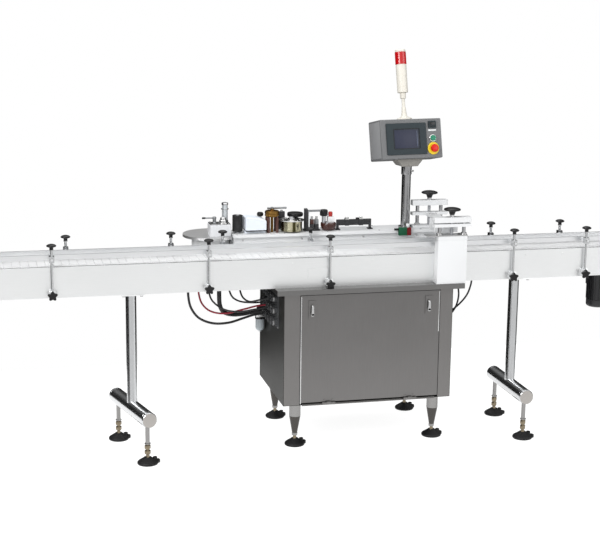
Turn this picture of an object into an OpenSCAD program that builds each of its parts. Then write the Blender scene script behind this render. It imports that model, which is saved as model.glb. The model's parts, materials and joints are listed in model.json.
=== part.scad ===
// Bottle labeling machine: a slat-chain conveyor that runs past a labeling deck on a steel cabinet.
// X runs along the conveyor, Y to the back, Z up; the origin is on the floor under the middle.

/* [Cabinet] */
// Width of the cabinet along the conveyor
cabinet_w = 860; // [760:10:1100]
// Depth of the cabinet
cabinet_d = 563; // [500:1:700]
// Height of the cabinet without its legs
cabinet_h = 562; // [450:1:700]
// Clear height under the cabinet
ground_gap = 218; // [180:1:300]
// Width of the left front column
left_column_w = 80; // [50:1:110]
// Width of the right front column
right_column_w = 65; // [50:1:110]
// Side of the square frame tube
tube_side = 40; // [30:1:50]
// Thickness of the sheet steel
sheet_t = 2; // [1:0.5:4]
// Thickness of the folded table top
table_t = 25; // [18:1:40]
// How far the table top stands out past the front and the back
table_lip = 30; // [10:1:60]
// Thickness of the folded door
door_t = 22; // [16:1:30]
// Width of the door latch plate
latch_w = 38; // [26:1:48]
// Height of the door latch plate
latch_h = 92; // [70:1:120]

/* [Conveyor] */
// Distance between two chain hinges
link_pitch = 38.1; // [36:0.1:42]
// Chain links between the two shafts
run_links = 85; // [60:1:85]
// Teeth on each sprocket
sprocket_teeth = 8; // [8:1:8]
// Width of the chain slats
slat_w = 152; // [120:1:160]
// Thickness of the chain slats
slat_t = 4; // [3:0.5:5]
// Diameter of the chain hinge barrels
barrel_d = 11; // [9:0.5:12]
// Height of the conveyor side plates
side_h = 145; // [135:1:180]
// Width over the two side plates
conveyor_w = 180; // [178:1:200]
// Thickness of the side plates
side_t = 3; // [2:0.5:4]
// Diameter of the conveyor shafts
shaft_d = 25; // [20:1:30]
// Diameter of the gear motor's body
motor_d = 118; // [90:1:130]

/* [Guide rails] */
// Height of the guide rails' top edge above the slats
rail_rise = 48; // [40:1:70]
// Height of a guide rail
rail_h = 22; // [14:1:30]
// Clear width between the two guide rails
bottle_lane = 104; // [70:1:110]
// Diameter of the rail posts
rail_post_d = 12; // [8:1:14]
// Diameter of the black post knobs
knob_d = 46; // [30:1:50]

/* [T legs] */
// Diameter of the chromed leg column
column_d = 50; // [40:1:60]
// Diameter of the cross tube at the bottom
cross_tube_d = 76; // [60:1:84]
// Distance between the two feet of a leg
foot_span = 396; // [300:1:440]
// Diameter of the leveling pads
pad_d = 100; // [80:1:110]
// Turn of the left leg about its own column, in degrees
left_leg_turn = 14; // [0:1:20]

/* [Labeling deck] */
// Height of the deck above the conveyor's belt
deck_over_belt = 75; // [65:1:90]
// Depth of the deck
deck_d = 150; // [140:1:170]
// Thickness of the deck plate
deck_t = 14; // [10:1:20]
// Radius of the half-round table
round_table_r = 140; // [120:1:165]
// Diameter of the label drum
drum_d = 108; // [80:1:120]
// Diameter of the black rubber roller
roller_d = 52; // [40:1:60]

/* [Press units] */
// Width of a press unit's bridge
bridge_w = 190; // [170:1:210]
// Height of a press unit's bridge
bridge_h = 27; // [20:1:32]
// Diameter of the guide rods
guide_rod_d = 18; // [12:1:20]
// Distance between the two guide rods
guide_rod_gap = 126; // [110:1:140]
// Diameter of the hand knobs
hand_knob_d = 84; // [60:1:90]

/* [Control box] */
// Width of the control box
box_w = 340; // [300:1:400]
// Height of the control box
box_h = 200; // [180:1:240]
// Depth of the control box
box_d = 142; // [100:1:180]
// Tilt of the control box towards the back, in degrees
box_tilt = 11.5; // [0:0.5:20]
// Turn of the control box about its post, in degrees
box_turn = 8.7; // [0:0.1:20]
// Diameter of the post that carries the box
post_d = 46; // [36:1:50]
// Width beside the screen bezel that is left for the buttons
button_strip_w = 90; // [86:1:110]
// Height of the screen bezel
bezel_h = 158; // [120:1:165]
// Height of the signal tower's lens stack
tower_body_h = 142; // [100:1:180]
// Diameter of the signal tower's lenses
tower_d = 54; // [40:1:60]

/* [Hidden] */
$fn = 64;
overrun = 1;
seat_gap = 0.3;
run_gap = 0.05;

// Places of the main assemblies
cabinet_x = 280;
conveyor_y = -112;
side_face_y = conveyor_y - conveyor_w / 2;
side_back_y = conveyor_y + conveyor_w / 2;
cabinet_front_y = side_face_y - table_lip;
cabinet_back_y = cabinet_front_y + cabinet_d;
cabinet_l = cabinet_x - cabinet_w / 2;
cabinet_r = cabinet_x + cabinet_w / 2;
cabinet_top_z = ground_gap + cabinet_h;
table_z = cabinet_top_z + table_t;
table_over_left = 40;
table_over_right = 50;
table_front_y = cabinet_front_y - table_lip;
table_lip_back = 29;
table_back_y = cabinet_back_y + table_lip_back;
table_l = cabinet_l - table_over_left;
table_r = cabinet_r + table_over_right;

// Cabinet frame, panels and door
frame_l = cabinet_l + sheet_t;
frame_r = cabinet_r - sheet_t;
frame_back_y = cabinet_back_y - sheet_t;
frame_bottom_z = ground_gap + sheet_t;
side_rail_cut = 6;
side_rail_h = tube_side - side_rail_cut;
door_side_gap = 3;
door_top_gap = 10;
door_bottom_gap = 12;
top_rail_y = cabinet_front_y + door_t + door_side_gap;
door_l = cabinet_l + left_column_w + door_side_gap;
door_r = cabinet_r - right_column_w - door_side_gap;
door_bottom_z = ground_gap + door_bottom_gap;
door_top_z = cabinet_top_z - door_top_gap;
hinge_d = 12;
hinge_gap = 0.4;
hinge_leaf_len = 22;
hinge_leaf_t = 3;
hinge_from_edge = 145;
hinge_y = cabinet_front_y - hinge_d / 2;
hinge_z = door_bottom_z - hinge_d / 2;
latch_plate_t = 3;
latch_boss_d = 22;
latch_boss_len = 12;
latch_lever_w = 15;
latch_lever_t = 7;
latch_shaft_d = 12;
latch_cam_len = 34;
latch_cam_w = 16;
latch_cam_t = 4;
latch_inset = 57;
latch_drop = 94;
latch_boss_z = door_top_z - latch_drop;
latch_plate_below = 22;
vent_slot_w = 6;
vent_slot_len = 110;
vent_slot_step = 18;
vent_slots = 7;

// Legs and leveling feet
leg_inset_x = 72;
leg_inset_y = 56;
leg_d = 58;
leg_tip_d = 26;
leg_flange_d = 82;
leg_flange_t = 6;
leg_straight = 66;
leg_tip_z = 62;
spindle_d = 16;
foot_nut_d = 28;
foot_nut_h = 10;
pad_h = 15;
pad_hub_d = 34;
pad_hub_h = 24;
pad_lug_w = 34;
pad_lug_reach = 62;
pad_hole_d = 11;
pad_hole_at = 38;
pad_edge = 4;

// Conveyor frame
slat_gap = 0.8;
hinge_below_slat = slat_t + barrel_d / 2 + slat_gap;
sprocket_r = link_pitch / (2 * sin(180 / sprocket_teeth));
run_len = run_links * link_pitch;
slat_over_side = 5;
belt_z = table_z + side_h + slat_over_side;
deck_z = belt_z + deck_over_belt;
carry_pin_z = belt_z - hinge_below_slat;
shaft_z = carry_pin_z - sprocket_r;
return_pin_z = shaft_z - sprocket_r;
carry_under_z = belt_z - slat_t;
return_under_z = return_pin_z - hinge_below_slat;
end_margin = 80.75;
bearing_hole_d = 31;
conveyor_half = run_len / 2 + end_margin;
shaft_x = run_len / 2;
side_top_z = table_z + side_h;
lip_top = 10;
lip_bottom = 22;
inner_half = conveyor_w / 2 - side_t;
strip_w = 20;
strip_h = 12;
strip_from_edge = 12;
strip_y = slat_w / 2 - strip_from_edge - strip_w / 2;
cross_bar_w = 30;
cross_bar_t = 6;
cross_bars = 8;
cross_tube_side = 24;
splice_x = 28;
splice_w = 110;
splice_h = 46;
splice_t = 4;
splice_z = table_z + side_h / 3;

// Chain slats and sprockets
slat_chamfer = 1.2;
mid_barrel_w = 34;
side_barrel_w = 22;
barrel_gap = 0.6;
sprocket_w = 14;
tooth_clear = 0.35;
tooth_back = 1.2;
hub_d = 46;
hub_len = 70;
housing_d = 78;
housing_t = 22;
housing_flange = 96;
shaft_out_front = 24;
shaft_out_back = 98;

// Gear motor under the drive end
gear_box_w = 104;
gear_box_h = 130;
gear_box_d = 64;
gear_box_gap = 20;
torque_arm_w = 28;
torque_arm_h = 40;
gear_neck_d = 84;
gear_neck_h = 16;
motor_len = 190;
motor_fins = 16;
motor_fin_t = 3;
motor_fin_out = 7;
motor_cap_d = 112;
motor_cap_h = 42;
terminal_w = 60;
terminal_h = 74;
terminal_d = 34;

// Guide rails: places of the brackets along the conveyor
front_brackets = [-1250, -515, 80, 1028, 1417];
back_brackets = [-1170, -665, -410, 33, 985, 1365];
rail_top_z = belt_z + rail_rise;
rail_t = 8;
rail_front_y = conveyor_y - bottle_lane / 2 - rail_t;
rail_back_y = conveyor_y + bottle_lane / 2;
rail_end_gap = 60;
rail_post_off = 16;
rail_post_front_y = side_face_y - rail_post_off;
rail_post_back_y = side_back_y + rail_post_off;
rail_post_over = 34;
rail_post_top_z = rail_top_z + rail_post_over;
rail_post_low = 22;
rail_pin_d = 10;
rail_pin_out = 24;
cross_block_w = 24;
cross_block_h = 30;
cross_block_d = 26;
clamp_w = 30;
clamp_h = 34;
knob_stem_d = 18;
knob_stem_h = 10;
knob_h = 18;
star_d = 30;
star_h = 14;
star_lobes = 5;
star_lobe_d = 9;
star_core_share = 0.72;
guard_len = 170;
guard_h = 70;
guard_t = 8;
guard_rise = 5;

// T legs
leg_x_right = 1080;
leg_x_left = -875;
cross_tube_z = 222;
cross_tube_over = 26;
head_plate_w = 110;
head_plate_t = 12;
head_collar_d = 66;
head_collar_h = 26;
column_foot_d = 62;
column_foot_h = 30;
cap_h = 10;
cap_edge_share = 0.6;

// Labeling deck
deck_back_gap = 44;
deck_front_y = side_back_y + deck_back_gap;
deck_back_y = deck_front_y + deck_d;
deck_over_right = 92;
deck_r = cabinet_r + deck_over_right;
deck_l = -350;
housing_wall = 4;
plate_edge = 5;
round_x = -440;
round_step = 12;
round_gap = 2;
round_y = deck_front_y + round_table_r + round_gap;
round_z = deck_z - round_step;
round_t = 12;
pedestal_d = 190;
shelf_l = -620;
shelf_t = 18;
shelf_d = 240;
shelf_gap = 20;

// Labeling pieces that stand on the deck; places along the conveyor
station_in = 66;
station_y = deck_front_y + station_in;
drum_x = -45;
drum_in = 4;
drum_y = deck_front_y + drum_d / 2 + drum_in;
drum_h = 56;
drum_flange_d = 130;
drum_flange_t = 4;
drum_lift = 6;
drum_pin_d = 20;
drum_pin_up = 14;
roller_x = -318;
roller_h = 82;
roller_lift = 8;
roller_pin_d = 14;
roller_cap_t = 5;
gum_x = -143;
gum_head_d = 72;
gum_head_h = 30;
gum_head_up = 78;
gum_head_z = deck_z + gum_head_up;
gum_spindle_d = 14;
gum_post_d = 15;
gum_post_gap = 44;
gum_bar_len = 100;
gum_bar_d = 8;
gum_stem_d = 20;
gum_stem_h = 12;
hand_wheel_x = -8;
hand_wheel_in = 14;
hand_wheel_y = deck_back_y - hand_wheel_in;
hand_wheel_d = 80;
hand_wheel_up = 66;
hand_wheel_z = deck_z + hand_wheel_up;
feed_box_x = -405;
feed_box_w = 110;
feed_box_d = 86;
feed_box_h = 62;
feed_in = 76;
feed_y = deck_front_y + feed_in;
oiler_d = 30;
oiler_x = -376;
oiler_in = 22;
oiler_h = 100;
oiler_cap_h = 34;
oiler_ring_d = 38;
valve_d = 38;
valve_h = 32;
lever_len = 62;
lever_d = 9;
magazine_x = -232;
magazine_w = 104;
magazine_h = 66;
magazine_d = 92;
magazine_wall = 4;
magazine_lift = 14;
mag_knob_d = 20;
mag_knob_h = 16;
bar_l = 190;
bar_len = 182;
bar_h = 30;
bar_t = 12;
bar_up = 34;
sensor_z = deck_z + bar_up;
bar_clamp_h = 12;
bar_clamp_at_shares = [0.3, 0.7];
bar_clamp_w = 20;
eye_right_x = 562;
eye_w_shares = [1, 0.5];
eye_w = 43;
eye_gap = 1;
eye_d = 16;
eye_h = 41;
eye_up = 15;
unit_post_x = 24;
unit_post_w = 15;
unit_post_h = 112;
unit_plate_x = 42;
unit_plate_w = 62;
unit_plate_t = 6;
unit_plate_h = 92;
pump_x = 148;
pump_d = 78;
pump_h = 40;
pump_block_w = 32;
pump_block_h = 30;
pump_cap_d = 22;
pump_cap_h = 24;
dark_cap_x = 124;
dark_cap_d = 40;
dark_cap_h = 32;
dark_cap_up = 74;

// Press units
press_from_right = 20;
press_x = cabinet_r - press_from_right;
press_in = 92;
press_back_y = deck_front_y + press_in;
press_off = 32;
press_front_y = side_face_y - press_off;
press_base_h = 8;
press_back_base_z = deck_z + press_base_h;
press_block_up = 95;
press_front_base_z = belt_z + press_block_up;
press_back_bridge_up = 110;
press_back_bridge_z = deck_z + press_back_bridge_up;
press_front_bridge_up = 60;
press_front_bridge_z = press_front_base_z + press_front_bridge_up;
press_base_d = 60;
press_front_d = 56;
press_block_w = 150;
bridge_d = 40;
screw_d = 16;
hand_knob_h = 26;
hand_knob_stem = 14;
carriage_h = 15;
carriage_under_bridge = 6;
carriage_front_z = press_front_bridge_z - carriage_h - carriage_under_bridge;
carriage_over_base = 52;
carriage_back_z = press_back_base_z + carriage_over_base;
arm_w = 54;
arm_t = 12;
press_pad_w = 120;
press_pad_h = 44;
press_pad_t = 12;
press_lane = 74;

// Control box and signal tower
post_before_press = 133;
post_x = press_x - post_before_press;
post_in = 76;
post_y = deck_front_y + post_in;
post_h = 304;
post_top_z = deck_z + post_h;
post_flange_d = 70;
post_flange_t = 8;
collar_d = 66;
collar_h = 30;
box_over_post = 58;
box_z = post_top_z + box_over_post;
box_corner = 8;
bracket_w = 150;
bracket_low_w = 70;
bracket_d = 84;
bracket_h = 52;
box_wall = 3;
bezel_t = 6;
bezel_inset = 28;
bezel_w = box_w - bezel_inset - button_strip_w;
panel_col_in = 54;
bezel_corner = 10;
screen_w = 142;
screen_h = 98;
screen_t = 1.2;
panel_gap = 0.3;
panel_col = box_w / 2 - panel_col_in;
meter_w = 41;
meter_h = 36;
meter_t = 9;
meter_up = 168;
strip_label_w = 44;
strip_label_h = 8;
strip_label_up = 140;
strip_label_t = 1;
start_d = 30;
start_ring_d = 38;
start_ring_h = 7;
start_h = 8;
start_up = 100;
button_travel = 4;
estop_plate_d = 62;
estop_plate_t = 8;
estop_up = 48;
estop_head_d = 40;
estop_neck_d = 22;
estop_out = 26;
estop_travel = 5;
estop_dome_share = 0.42;
tower_flange_d = 78;
tower_flange_t = 16;
tower_cone_h = 46;
tower_cone_d = 46;
tower_pole_d = 15;
tower_pole_h = 48;
tower_neck_d = 30;
tower_neck_h = 30;
tower_lens_h = 63;
tower_cap_h = 13;
tower_rib = 2;

// Connectors, filter and leads on the cabinet's left side
side_x = cabinet_l;
connector_plate_t = 3;
connector_y0 = -120;
connector_step = 60;
connector_drop = 20;
connector_top_z = cabinet_top_z - connector_drop;
connector_rows = 3;
connector_cols = 5;
connector_d = 26;
connector_ring_d = 34;
connector_out = 34;
filter_y = 206;
filter_head_w = 52;
filter_head_h = 34;
filter_bowl_d = 46;
filter_bowl_h = 74;
filter_drop = 212;
filter_z = cabinet_top_z - filter_drop;
gland_x0 = -566;
gland_step = 52;
gland_d = 24;
gland_h = 40;
gland_count = 6;
side_gland_len = 12;
side_gland_y = [-40, 0, 40];
side_gland_drop = 210;
side_gland_z = cabinet_top_z - side_gland_drop;
top_gland_len = 15;
top_gland_y = [-33, -33];
top_gland_x = [800, 880];
table_gland_x = 735;
table_gland_y = -20;
panel_seam = 0.2;
gland_y = 90;
lead_d = 9;
hose_d = 12;
bundle_d = 22;
lead_sides = 8;
lead_straight = 12;
lead_datum_z = 780;

// Routes of the leads, one round point after another
left_leads = [
    [hose_d, [[-566, 90, 765], [-566, 90, 715], [-552, 92, 655], [-510, 96, 600], [-440, 98, 570],
              [-360, 96, 570], [-290, 92, 590], [-235, 90, 606], [-187, 90, 610]]],
    [lead_d, [[-514, 90, 765], [-514, 90, 730], [-500, 80, 680], [-460, 66, 642], [-390, 50, 630],
              [-300, 36, 650], [-235, 30, 666], [-187, 30, 670]]],
    [lead_d, [[-462, 90, 765], [-462, 90, 735], [-450, 60, 695], [-400, 16, 660], [-330, -14, 652],
              [-250, -28, 664], [-187, -30, 670]]],
    [bundle_d, [[-410, 90, 765], [-410, 92, 715], [-404, 104, 660], [-380, 126, 618], [-330, 142, 600],
                [-270, 149, 600], [-225, 150, 608], [-187, 150, 610]]],
    [lead_d, [[-358, 90, 765], [-358, 90, 735], [-340, 90, 700], [-300, 90, 678], [-240, 90, 670],
              [-187, 90, 670]]],
    [lead_d, [[-306, 90, 765], [-306, 84, 740], [-300, 40, 712], [-280, -30, 705], [-240, -76, 722],
              [-187, -90, 730]]]
];
right_leads = [
    [lead_d, [[735, -20, 780], [740, -20, 740], [758, -22, 690], [770, -28, 640], [762, -36, 595],
              [742, -40, 573], [722, -40, 570]]],
    [lead_d, [[800, -33, 790], [806, -32, 750], [816, -26, 690], [808, -14, 630], [782, -4, 586],
              [750, 0, 571], [722, 0, 570]]],
    [lead_d, [[880, -33, 790], [880, -30, 750], [866, -16, 690], [834, 8, 635], [792, 30, 592],
              [752, 40, 572], [722, 40, 570]]]
];

// Shared shapes

// A box from its lowest to its highest corner
module block(lo, hi) {
    translate(lo) cube(hi - lo);
}

// A round bar along Z, Y or X
module bar_z(d, x, y, z0, z1) {
    translate([x, y, z0]) cylinder(d = d, h = z1 - z0);
}

module bar_y(d, x, y0, y1, z) {
    translate([x, y1, z]) rotate([90, 0, 0]) cylinder(d = d, h = y1 - y0);
}

module bar_x(d, x0, x1, y, z) {
    translate([x0, y, z]) rotate([0, 90, 0]) cylinder(d = d, h = x1 - x0);
}

// A flat outline with round corners, centred
module round_outline(w, h, r) {
    square([w - 2 * r, h], center = true);
    square([w, h - 2 * r], center = true);
    for (sx = [-1, 1], sy = [-1, 1])
        translate([sx * (w / 2 - r), sy * (h / 2 - r)]) circle(r = r);
}

// A ring section drawn as a profile and turned once about Z
module turned(points) {
    rotate_extrude() polygon(points);
}

// A swept round lead along its route
function unit(v) = v / norm(v);
function tangent(p, i) = unit(p[min(i + 1, len(p) - 1)] - p[max(i - 1, 0)]);
function side_of(t) = unit(cross(t, abs(t.y) > 0.9 ? [1, 0, 0] : [0, 1, 0]));
function lead_ring(p, i, r) =
    let (t = tangent(p, i), u = side_of(t), v = cross(t, u))
    [for (k = [0:lead_sides - 1])
        let (a = 360 * k / lead_sides)
        p[i] + r * (cos(a) * u + sin(a) * v)];

// A route that leaves its gland straight down and enters its connector straight
function end_way(p) = [sign(p[len(p) - 1].x - p[len(p) - 2].x), 0, 0];
function laid(p) =
    concat([p[0], p[0] - [0, 0, lead_straight]], [for (i = [1:len(p) - 2]) p[i]],
           [p[len(p) - 1] - lead_straight * end_way(p), p[len(p) - 1]]);

module swept_lead(d, route) {
    p = laid(route);
    n = len(p);
    s = lead_sides;
    points = [for (i = [0:n - 1]) each lead_ring(p, i, d / 2)];
    walls = [for (i = [0:n - 2], k = [0:s - 1], half = [0:1])
        half == 0
        ? [i * s + k, (i + 1) * s + (k + 1) % s, i * s + (k + 1) % s]
        : [i * s + k, (i + 1) * s + k, (i + 1) * s + (k + 1) % s]];
    caps = [[for (k = [0:s - 1]) k], [for (k = [s - 1:-1:0]) (n - 1) * s + k]];
    polyhedron(points, concat(walls, caps));
}

// Cabinet

module cabinet_frame() {
    back_posts_y = frame_back_y - tube_side;
    color([0.50, 0.49, 0.48]) {
        block([frame_l, cabinet_front_y, frame_bottom_z],
              [cabinet_l + left_column_w, cabinet_front_y + tube_side, cabinet_top_z]);
        block([cabinet_r - right_column_w, cabinet_front_y, frame_bottom_z],
              [frame_r, cabinet_front_y + tube_side, cabinet_top_z]);
        for (x = [frame_l, frame_r - tube_side])
            block([x, back_posts_y, frame_bottom_z], [x + tube_side, frame_back_y, cabinet_top_z]);
        // Long rails, set back behind the door at the front
        for (z = [frame_bottom_z, cabinet_top_z - tube_side])
            block([frame_l, back_posts_y, z], [frame_r, frame_back_y, z + tube_side]);
        // Side rails, of a slightly flatter tube
        for (x = [frame_l, frame_r - tube_side], z = [frame_bottom_z, cabinet_top_z - side_rail_h])
            block([x, cabinet_front_y, z], [x + tube_side, frame_back_y, z + side_rail_h]);
        for (z = [frame_bottom_z, cabinet_top_z - tube_side])
            block([frame_l, top_rail_y, z], [frame_r, top_rail_y + tube_side, z + tube_side]);
        // Hinge leaves that carry the drop-down door
        for (x = hinge_places(), s = [-1, 1])
            hinge_leaf(x + s * (hinge_leaf_len + hinge_gap));
    }
}

function hinge_places() = [door_l + hinge_from_edge, door_r - hinge_from_edge];

module hinge_leaf(x) {
    back_y = top_rail_y + overrun;
    bar_x(hinge_d, x - hinge_leaf_len / 2, x + hinge_leaf_len / 2, hinge_y, hinge_z);
    block([x - hinge_leaf_len / 2, hinge_y, frame_bottom_z],
          [x + hinge_leaf_len / 2, back_y, frame_bottom_z + hinge_leaf_t]);
}

module cabinet_panels() {
    slot_z = ground_gap + cabinet_h / 2;
    color([0.44, 0.44, 0.43]) {
        // Floor
        block([cabinet_l, cabinet_front_y, ground_gap],
              [cabinet_r, cabinet_back_y, frame_bottom_z - panel_seam]);
        // Sides
        block([cabinet_l, cabinet_front_y, frame_bottom_z], [frame_l, cabinet_back_y, cabinet_top_z]);
        block([frame_r, cabinet_front_y, frame_bottom_z], [cabinet_r, cabinet_back_y, cabinet_top_z]);
        // Back, with two rows of cooling slots
        difference() {
            block([frame_l + panel_seam, frame_back_y, frame_bottom_z],
                  [frame_r - panel_seam, cabinet_back_y, cabinet_top_z]);
            for (side = [-1, 1], i = [0:vent_slots - 1])
                translate([cabinet_x + side * cabinet_w / 4 - vent_slot_len / 2, frame_back_y - overrun,
                           slot_z + (i - (vent_slots - 1) / 2) * vent_slot_step - vent_slot_w / 2])
                    cube([vent_slot_len, sheet_t + 2 * overrun, vent_slot_w]);
        }
    }
}

module table_top() {
    color([0.60, 0.61, 0.60])
        difference() {
            block([table_l, table_front_y, cabinet_top_z], [table_r, table_back_y, table_z]);
            // Pocket on the underside, inside the cabinet's top rails
            block([frame_l + tube_side, top_rail_y + tube_side, cabinet_top_z - overrun],
                  [frame_r - tube_side, frame_back_y - tube_side, table_z - 2 * sheet_t]);
            // Recess under the right end that the gland sits in
            block([cabinet_r + table_lip / 4, table_front_y + table_lip, cabinet_top_z - overrun],
                  [table_r - table_lip / 4, table_back_y - table_lip, table_z - 2 * sheet_t]);
        }
}

module door() {
    fold = sheet_t;
    color([0.48, 0.47, 0.47]) {
        difference() {
            union() {
                block([door_l, cabinet_front_y, door_bottom_z], [door_r, cabinet_front_y + door_t, door_top_z]);
                for (x = latch_places())
                    block([x - latch_w / 2, cabinet_front_y - latch_plate_t, latch_boss_z - latch_plate_below],
                          [x + latch_w / 2, cabinet_front_y + overrun,
                           latch_boss_z + latch_h - latch_plate_below]);
            }
            // The folded tray is open at the back
            block([door_l + fold, cabinet_front_y + fold, door_bottom_z + fold],
                  [door_r - fold, cabinet_front_y + door_t + overrun, door_top_z - fold]);
            for (x = latch_places())
                bar_y(latch_shaft_d + 2 * run_gap, x, cabinet_front_y - latch_plate_t - overrun,
                      cabinet_front_y + fold + overrun, latch_boss_z);
        }
        for (x = hinge_places()) {
            bar_x(hinge_d, x - hinge_leaf_len / 2, x + hinge_leaf_len / 2, hinge_y, hinge_z);
            // Strap that joins the knuckle to the bottom of the door
            block([x - hinge_leaf_len / 2, hinge_y - hinge_d / 2, hinge_z],
                  [x + hinge_leaf_len / 2, cabinet_front_y + fold, door_bottom_z + fold]);
        }
    }
}

function latch_places() = [door_l + latch_inset, door_r - latch_inset];

// A plate with a turning lever above its round boss
module latch(x) {
    plate_y = cabinet_front_y - latch_plate_t;
    boss_y = plate_y - latch_boss_len;
    cam_y = cabinet_front_y + door_t;
    color([0.78, 0.79, 0.80]) {
        bar_y(latch_boss_d, x, boss_y, plate_y - run_gap, latch_boss_z);
        translate([x, boss_y + latch_lever_t, latch_boss_z]) rotate([90, 0, 0])
            linear_extrude(latch_lever_t) lever_outline();
        bar_y(latch_shaft_d, x, plate_y - overrun, cam_y, latch_boss_z);
        translate([x, cam_y - latch_cam_t, latch_boss_z]) rotate([90, 0, 0])
            linear_extrude(latch_cam_t)
                translate([-latch_cam_w / 2, -latch_cam_w / 2])
                    square([latch_cam_w, latch_cam_len]);
    }
}

module lever_outline() {
    reach = latch_h - 2 * latch_plate_below;
    tip_share = 0.34;
    circle(d = latch_boss_d);
    polygon([[-latch_lever_w / 2, 0], [latch_lever_w / 2, 0],
             [latch_lever_w * tip_share, reach], [-latch_lever_w * tip_share, reach]]);
    translate([0, reach]) circle(r = latch_lever_w * tip_share);
}

module latch_left() {
    latch(latch_places()[0]);
}

module latch_right() {
    latch(latch_places()[1]);
}

function leg_places() = [for (sx = [-1, 1], y = [cabinet_front_y + leg_inset_y, cabinet_back_y - leg_inset_y])
    [cabinet_x + sx * (cabinet_w / 2 - leg_inset_x), y, sx]];

module cabinet_legs() {
    cone_z = ground_gap - leg_straight;
    color([0.46, 0.45, 0.44])
        for (p = leg_places())
            translate([p.x, p.y, 0])
                turned([[0, leg_tip_z], [leg_tip_d / 2, leg_tip_z], [leg_d / 2, cone_z],
                        [leg_d / 2, ground_gap - leg_flange_t], [leg_flange_d / 2, ground_gap - leg_flange_t],
                        [leg_flange_d / 2, ground_gap], [0, ground_gap]]);
}

// A spindle, its lock nut and a round pad with one bolting lug
module leveling_foot(top_z, lug_turn) {
    color([0.72, 0.73, 0.74]) {
        cylinder(d = spindle_d, h = top_z);
        translate([0, 0, top_z - foot_nut_h]) cylinder(d = foot_nut_d, h = foot_nut_h, $fn = 6);
    }
    color([0.08, 0.08, 0.09])
        rotate([0, 0, lug_turn])
            difference() {
                union() {
                    turned([[0, 0], [pad_d / 2 - pad_edge, 0], [pad_d / 2, pad_edge],
                            [pad_d / 2, pad_h - pad_edge], [pad_d / 2 - pad_edge, pad_h],
                            [pad_hub_d / 2, pad_hub_h], [0, pad_hub_h]]);
                    translate([0, -pad_lug_w / 2, 0]) cube([pad_lug_reach - pad_lug_w / 2, pad_lug_w, pad_h]);
                    translate([pad_lug_reach - pad_lug_w / 2, 0, 0]) cylinder(d = pad_lug_w, h = pad_h);
                }
                translate([pad_hole_at, 0, -overrun]) cylinder(d = pad_hole_d, h = pad_hub_h + 2 * overrun);
            }
}

module cabinet_feet() {
    for (p = leg_places())
        translate([p.x, p.y, 0]) leveling_foot(leg_tip_z, p[2] > 0 ? 0 : 180);
}

// Conveyor frame

// Folded side plate: a tall web with a lip at the top and a foot at the bottom
module side_profile() {
    polygon([[0, 0], [lip_bottom, 0], [lip_bottom, side_t], [side_t, side_t],
             [side_t, side_h - side_t], [lip_top, side_h - side_t], [lip_top, side_h], [0, side_h]]);
}

module side_plate(mirrored) {
    difference() {
        translate([-conveyor_half, mirrored ? side_back_y : side_face_y, table_z])
            mirror([0, mirrored ? 1 : 0, 0])
                rotate([90, 0, 90]) linear_extrude(2 * conveyor_half) side_profile();
        for (x = [-shaft_x, shaft_x])
            bar_y(bearing_hole_d, x, side_face_y - overrun, side_back_y + overrun, shaft_z);
    }
}

module side_plate_front() {
    color([0.86, 0.87, 0.87]) side_plate(false);
    color([0.80, 0.81, 0.81])
        block([splice_x - splice_w / 2, side_face_y - splice_t, splice_z],
              [splice_x + splice_w / 2, side_face_y, splice_z + splice_h]);
}

module side_plate_back() {
    color([0.86, 0.87, 0.87]) side_plate(true);
    color([0.80, 0.81, 0.81])
        block([splice_x - splice_w / 2, side_back_y, splice_z],
              [splice_x + splice_w / 2, side_back_y + splice_t, splice_z + splice_h]);
}

function cross_bar_x(i) = -shaft_x + (i + 0.5) * run_len / cross_bars;

module conveyor_cross_bars() {
    carry_bar_top = carry_under_z - strip_h;
    color([0.70, 0.71, 0.71])
        for (i = [0:cross_bars - 1])
            translate([cross_bar_x(i), conveyor_y, 0]) {
                translate([-cross_bar_w / 2, -inner_half, carry_bar_top - cross_bar_t])
                    cube([cross_bar_w, 2 * inner_half, cross_bar_t]);
                translate([-cross_tube_side / 2, -inner_half, shaft_z - cross_tube_side / 2])
                    cube([cross_tube_side, 2 * inner_half, cross_tube_side]);
                translate([-cross_bar_w / 2, -inner_half, table_z + side_t])
                    cube([cross_bar_w, 2 * inner_half, return_strip_z() - table_z - side_t]);
            }
}

function return_strip_z() = return_under_z - strip_h;

module wear_strips() {
    strip_half = shaft_x - sprocket_r;
    color([0.12, 0.13, 0.13])
        for (s = [-1, 1]) {
            translate([-strip_half, conveyor_y + s * strip_y - strip_w / 2, carry_under_z - strip_h])
                cube([2 * strip_half, strip_w, strip_h]);
            translate([-strip_half, conveyor_y + s * strip_y - strip_w / 2, return_strip_z()])
                cube([2 * strip_half, strip_w, strip_h]);
        }
}

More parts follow.
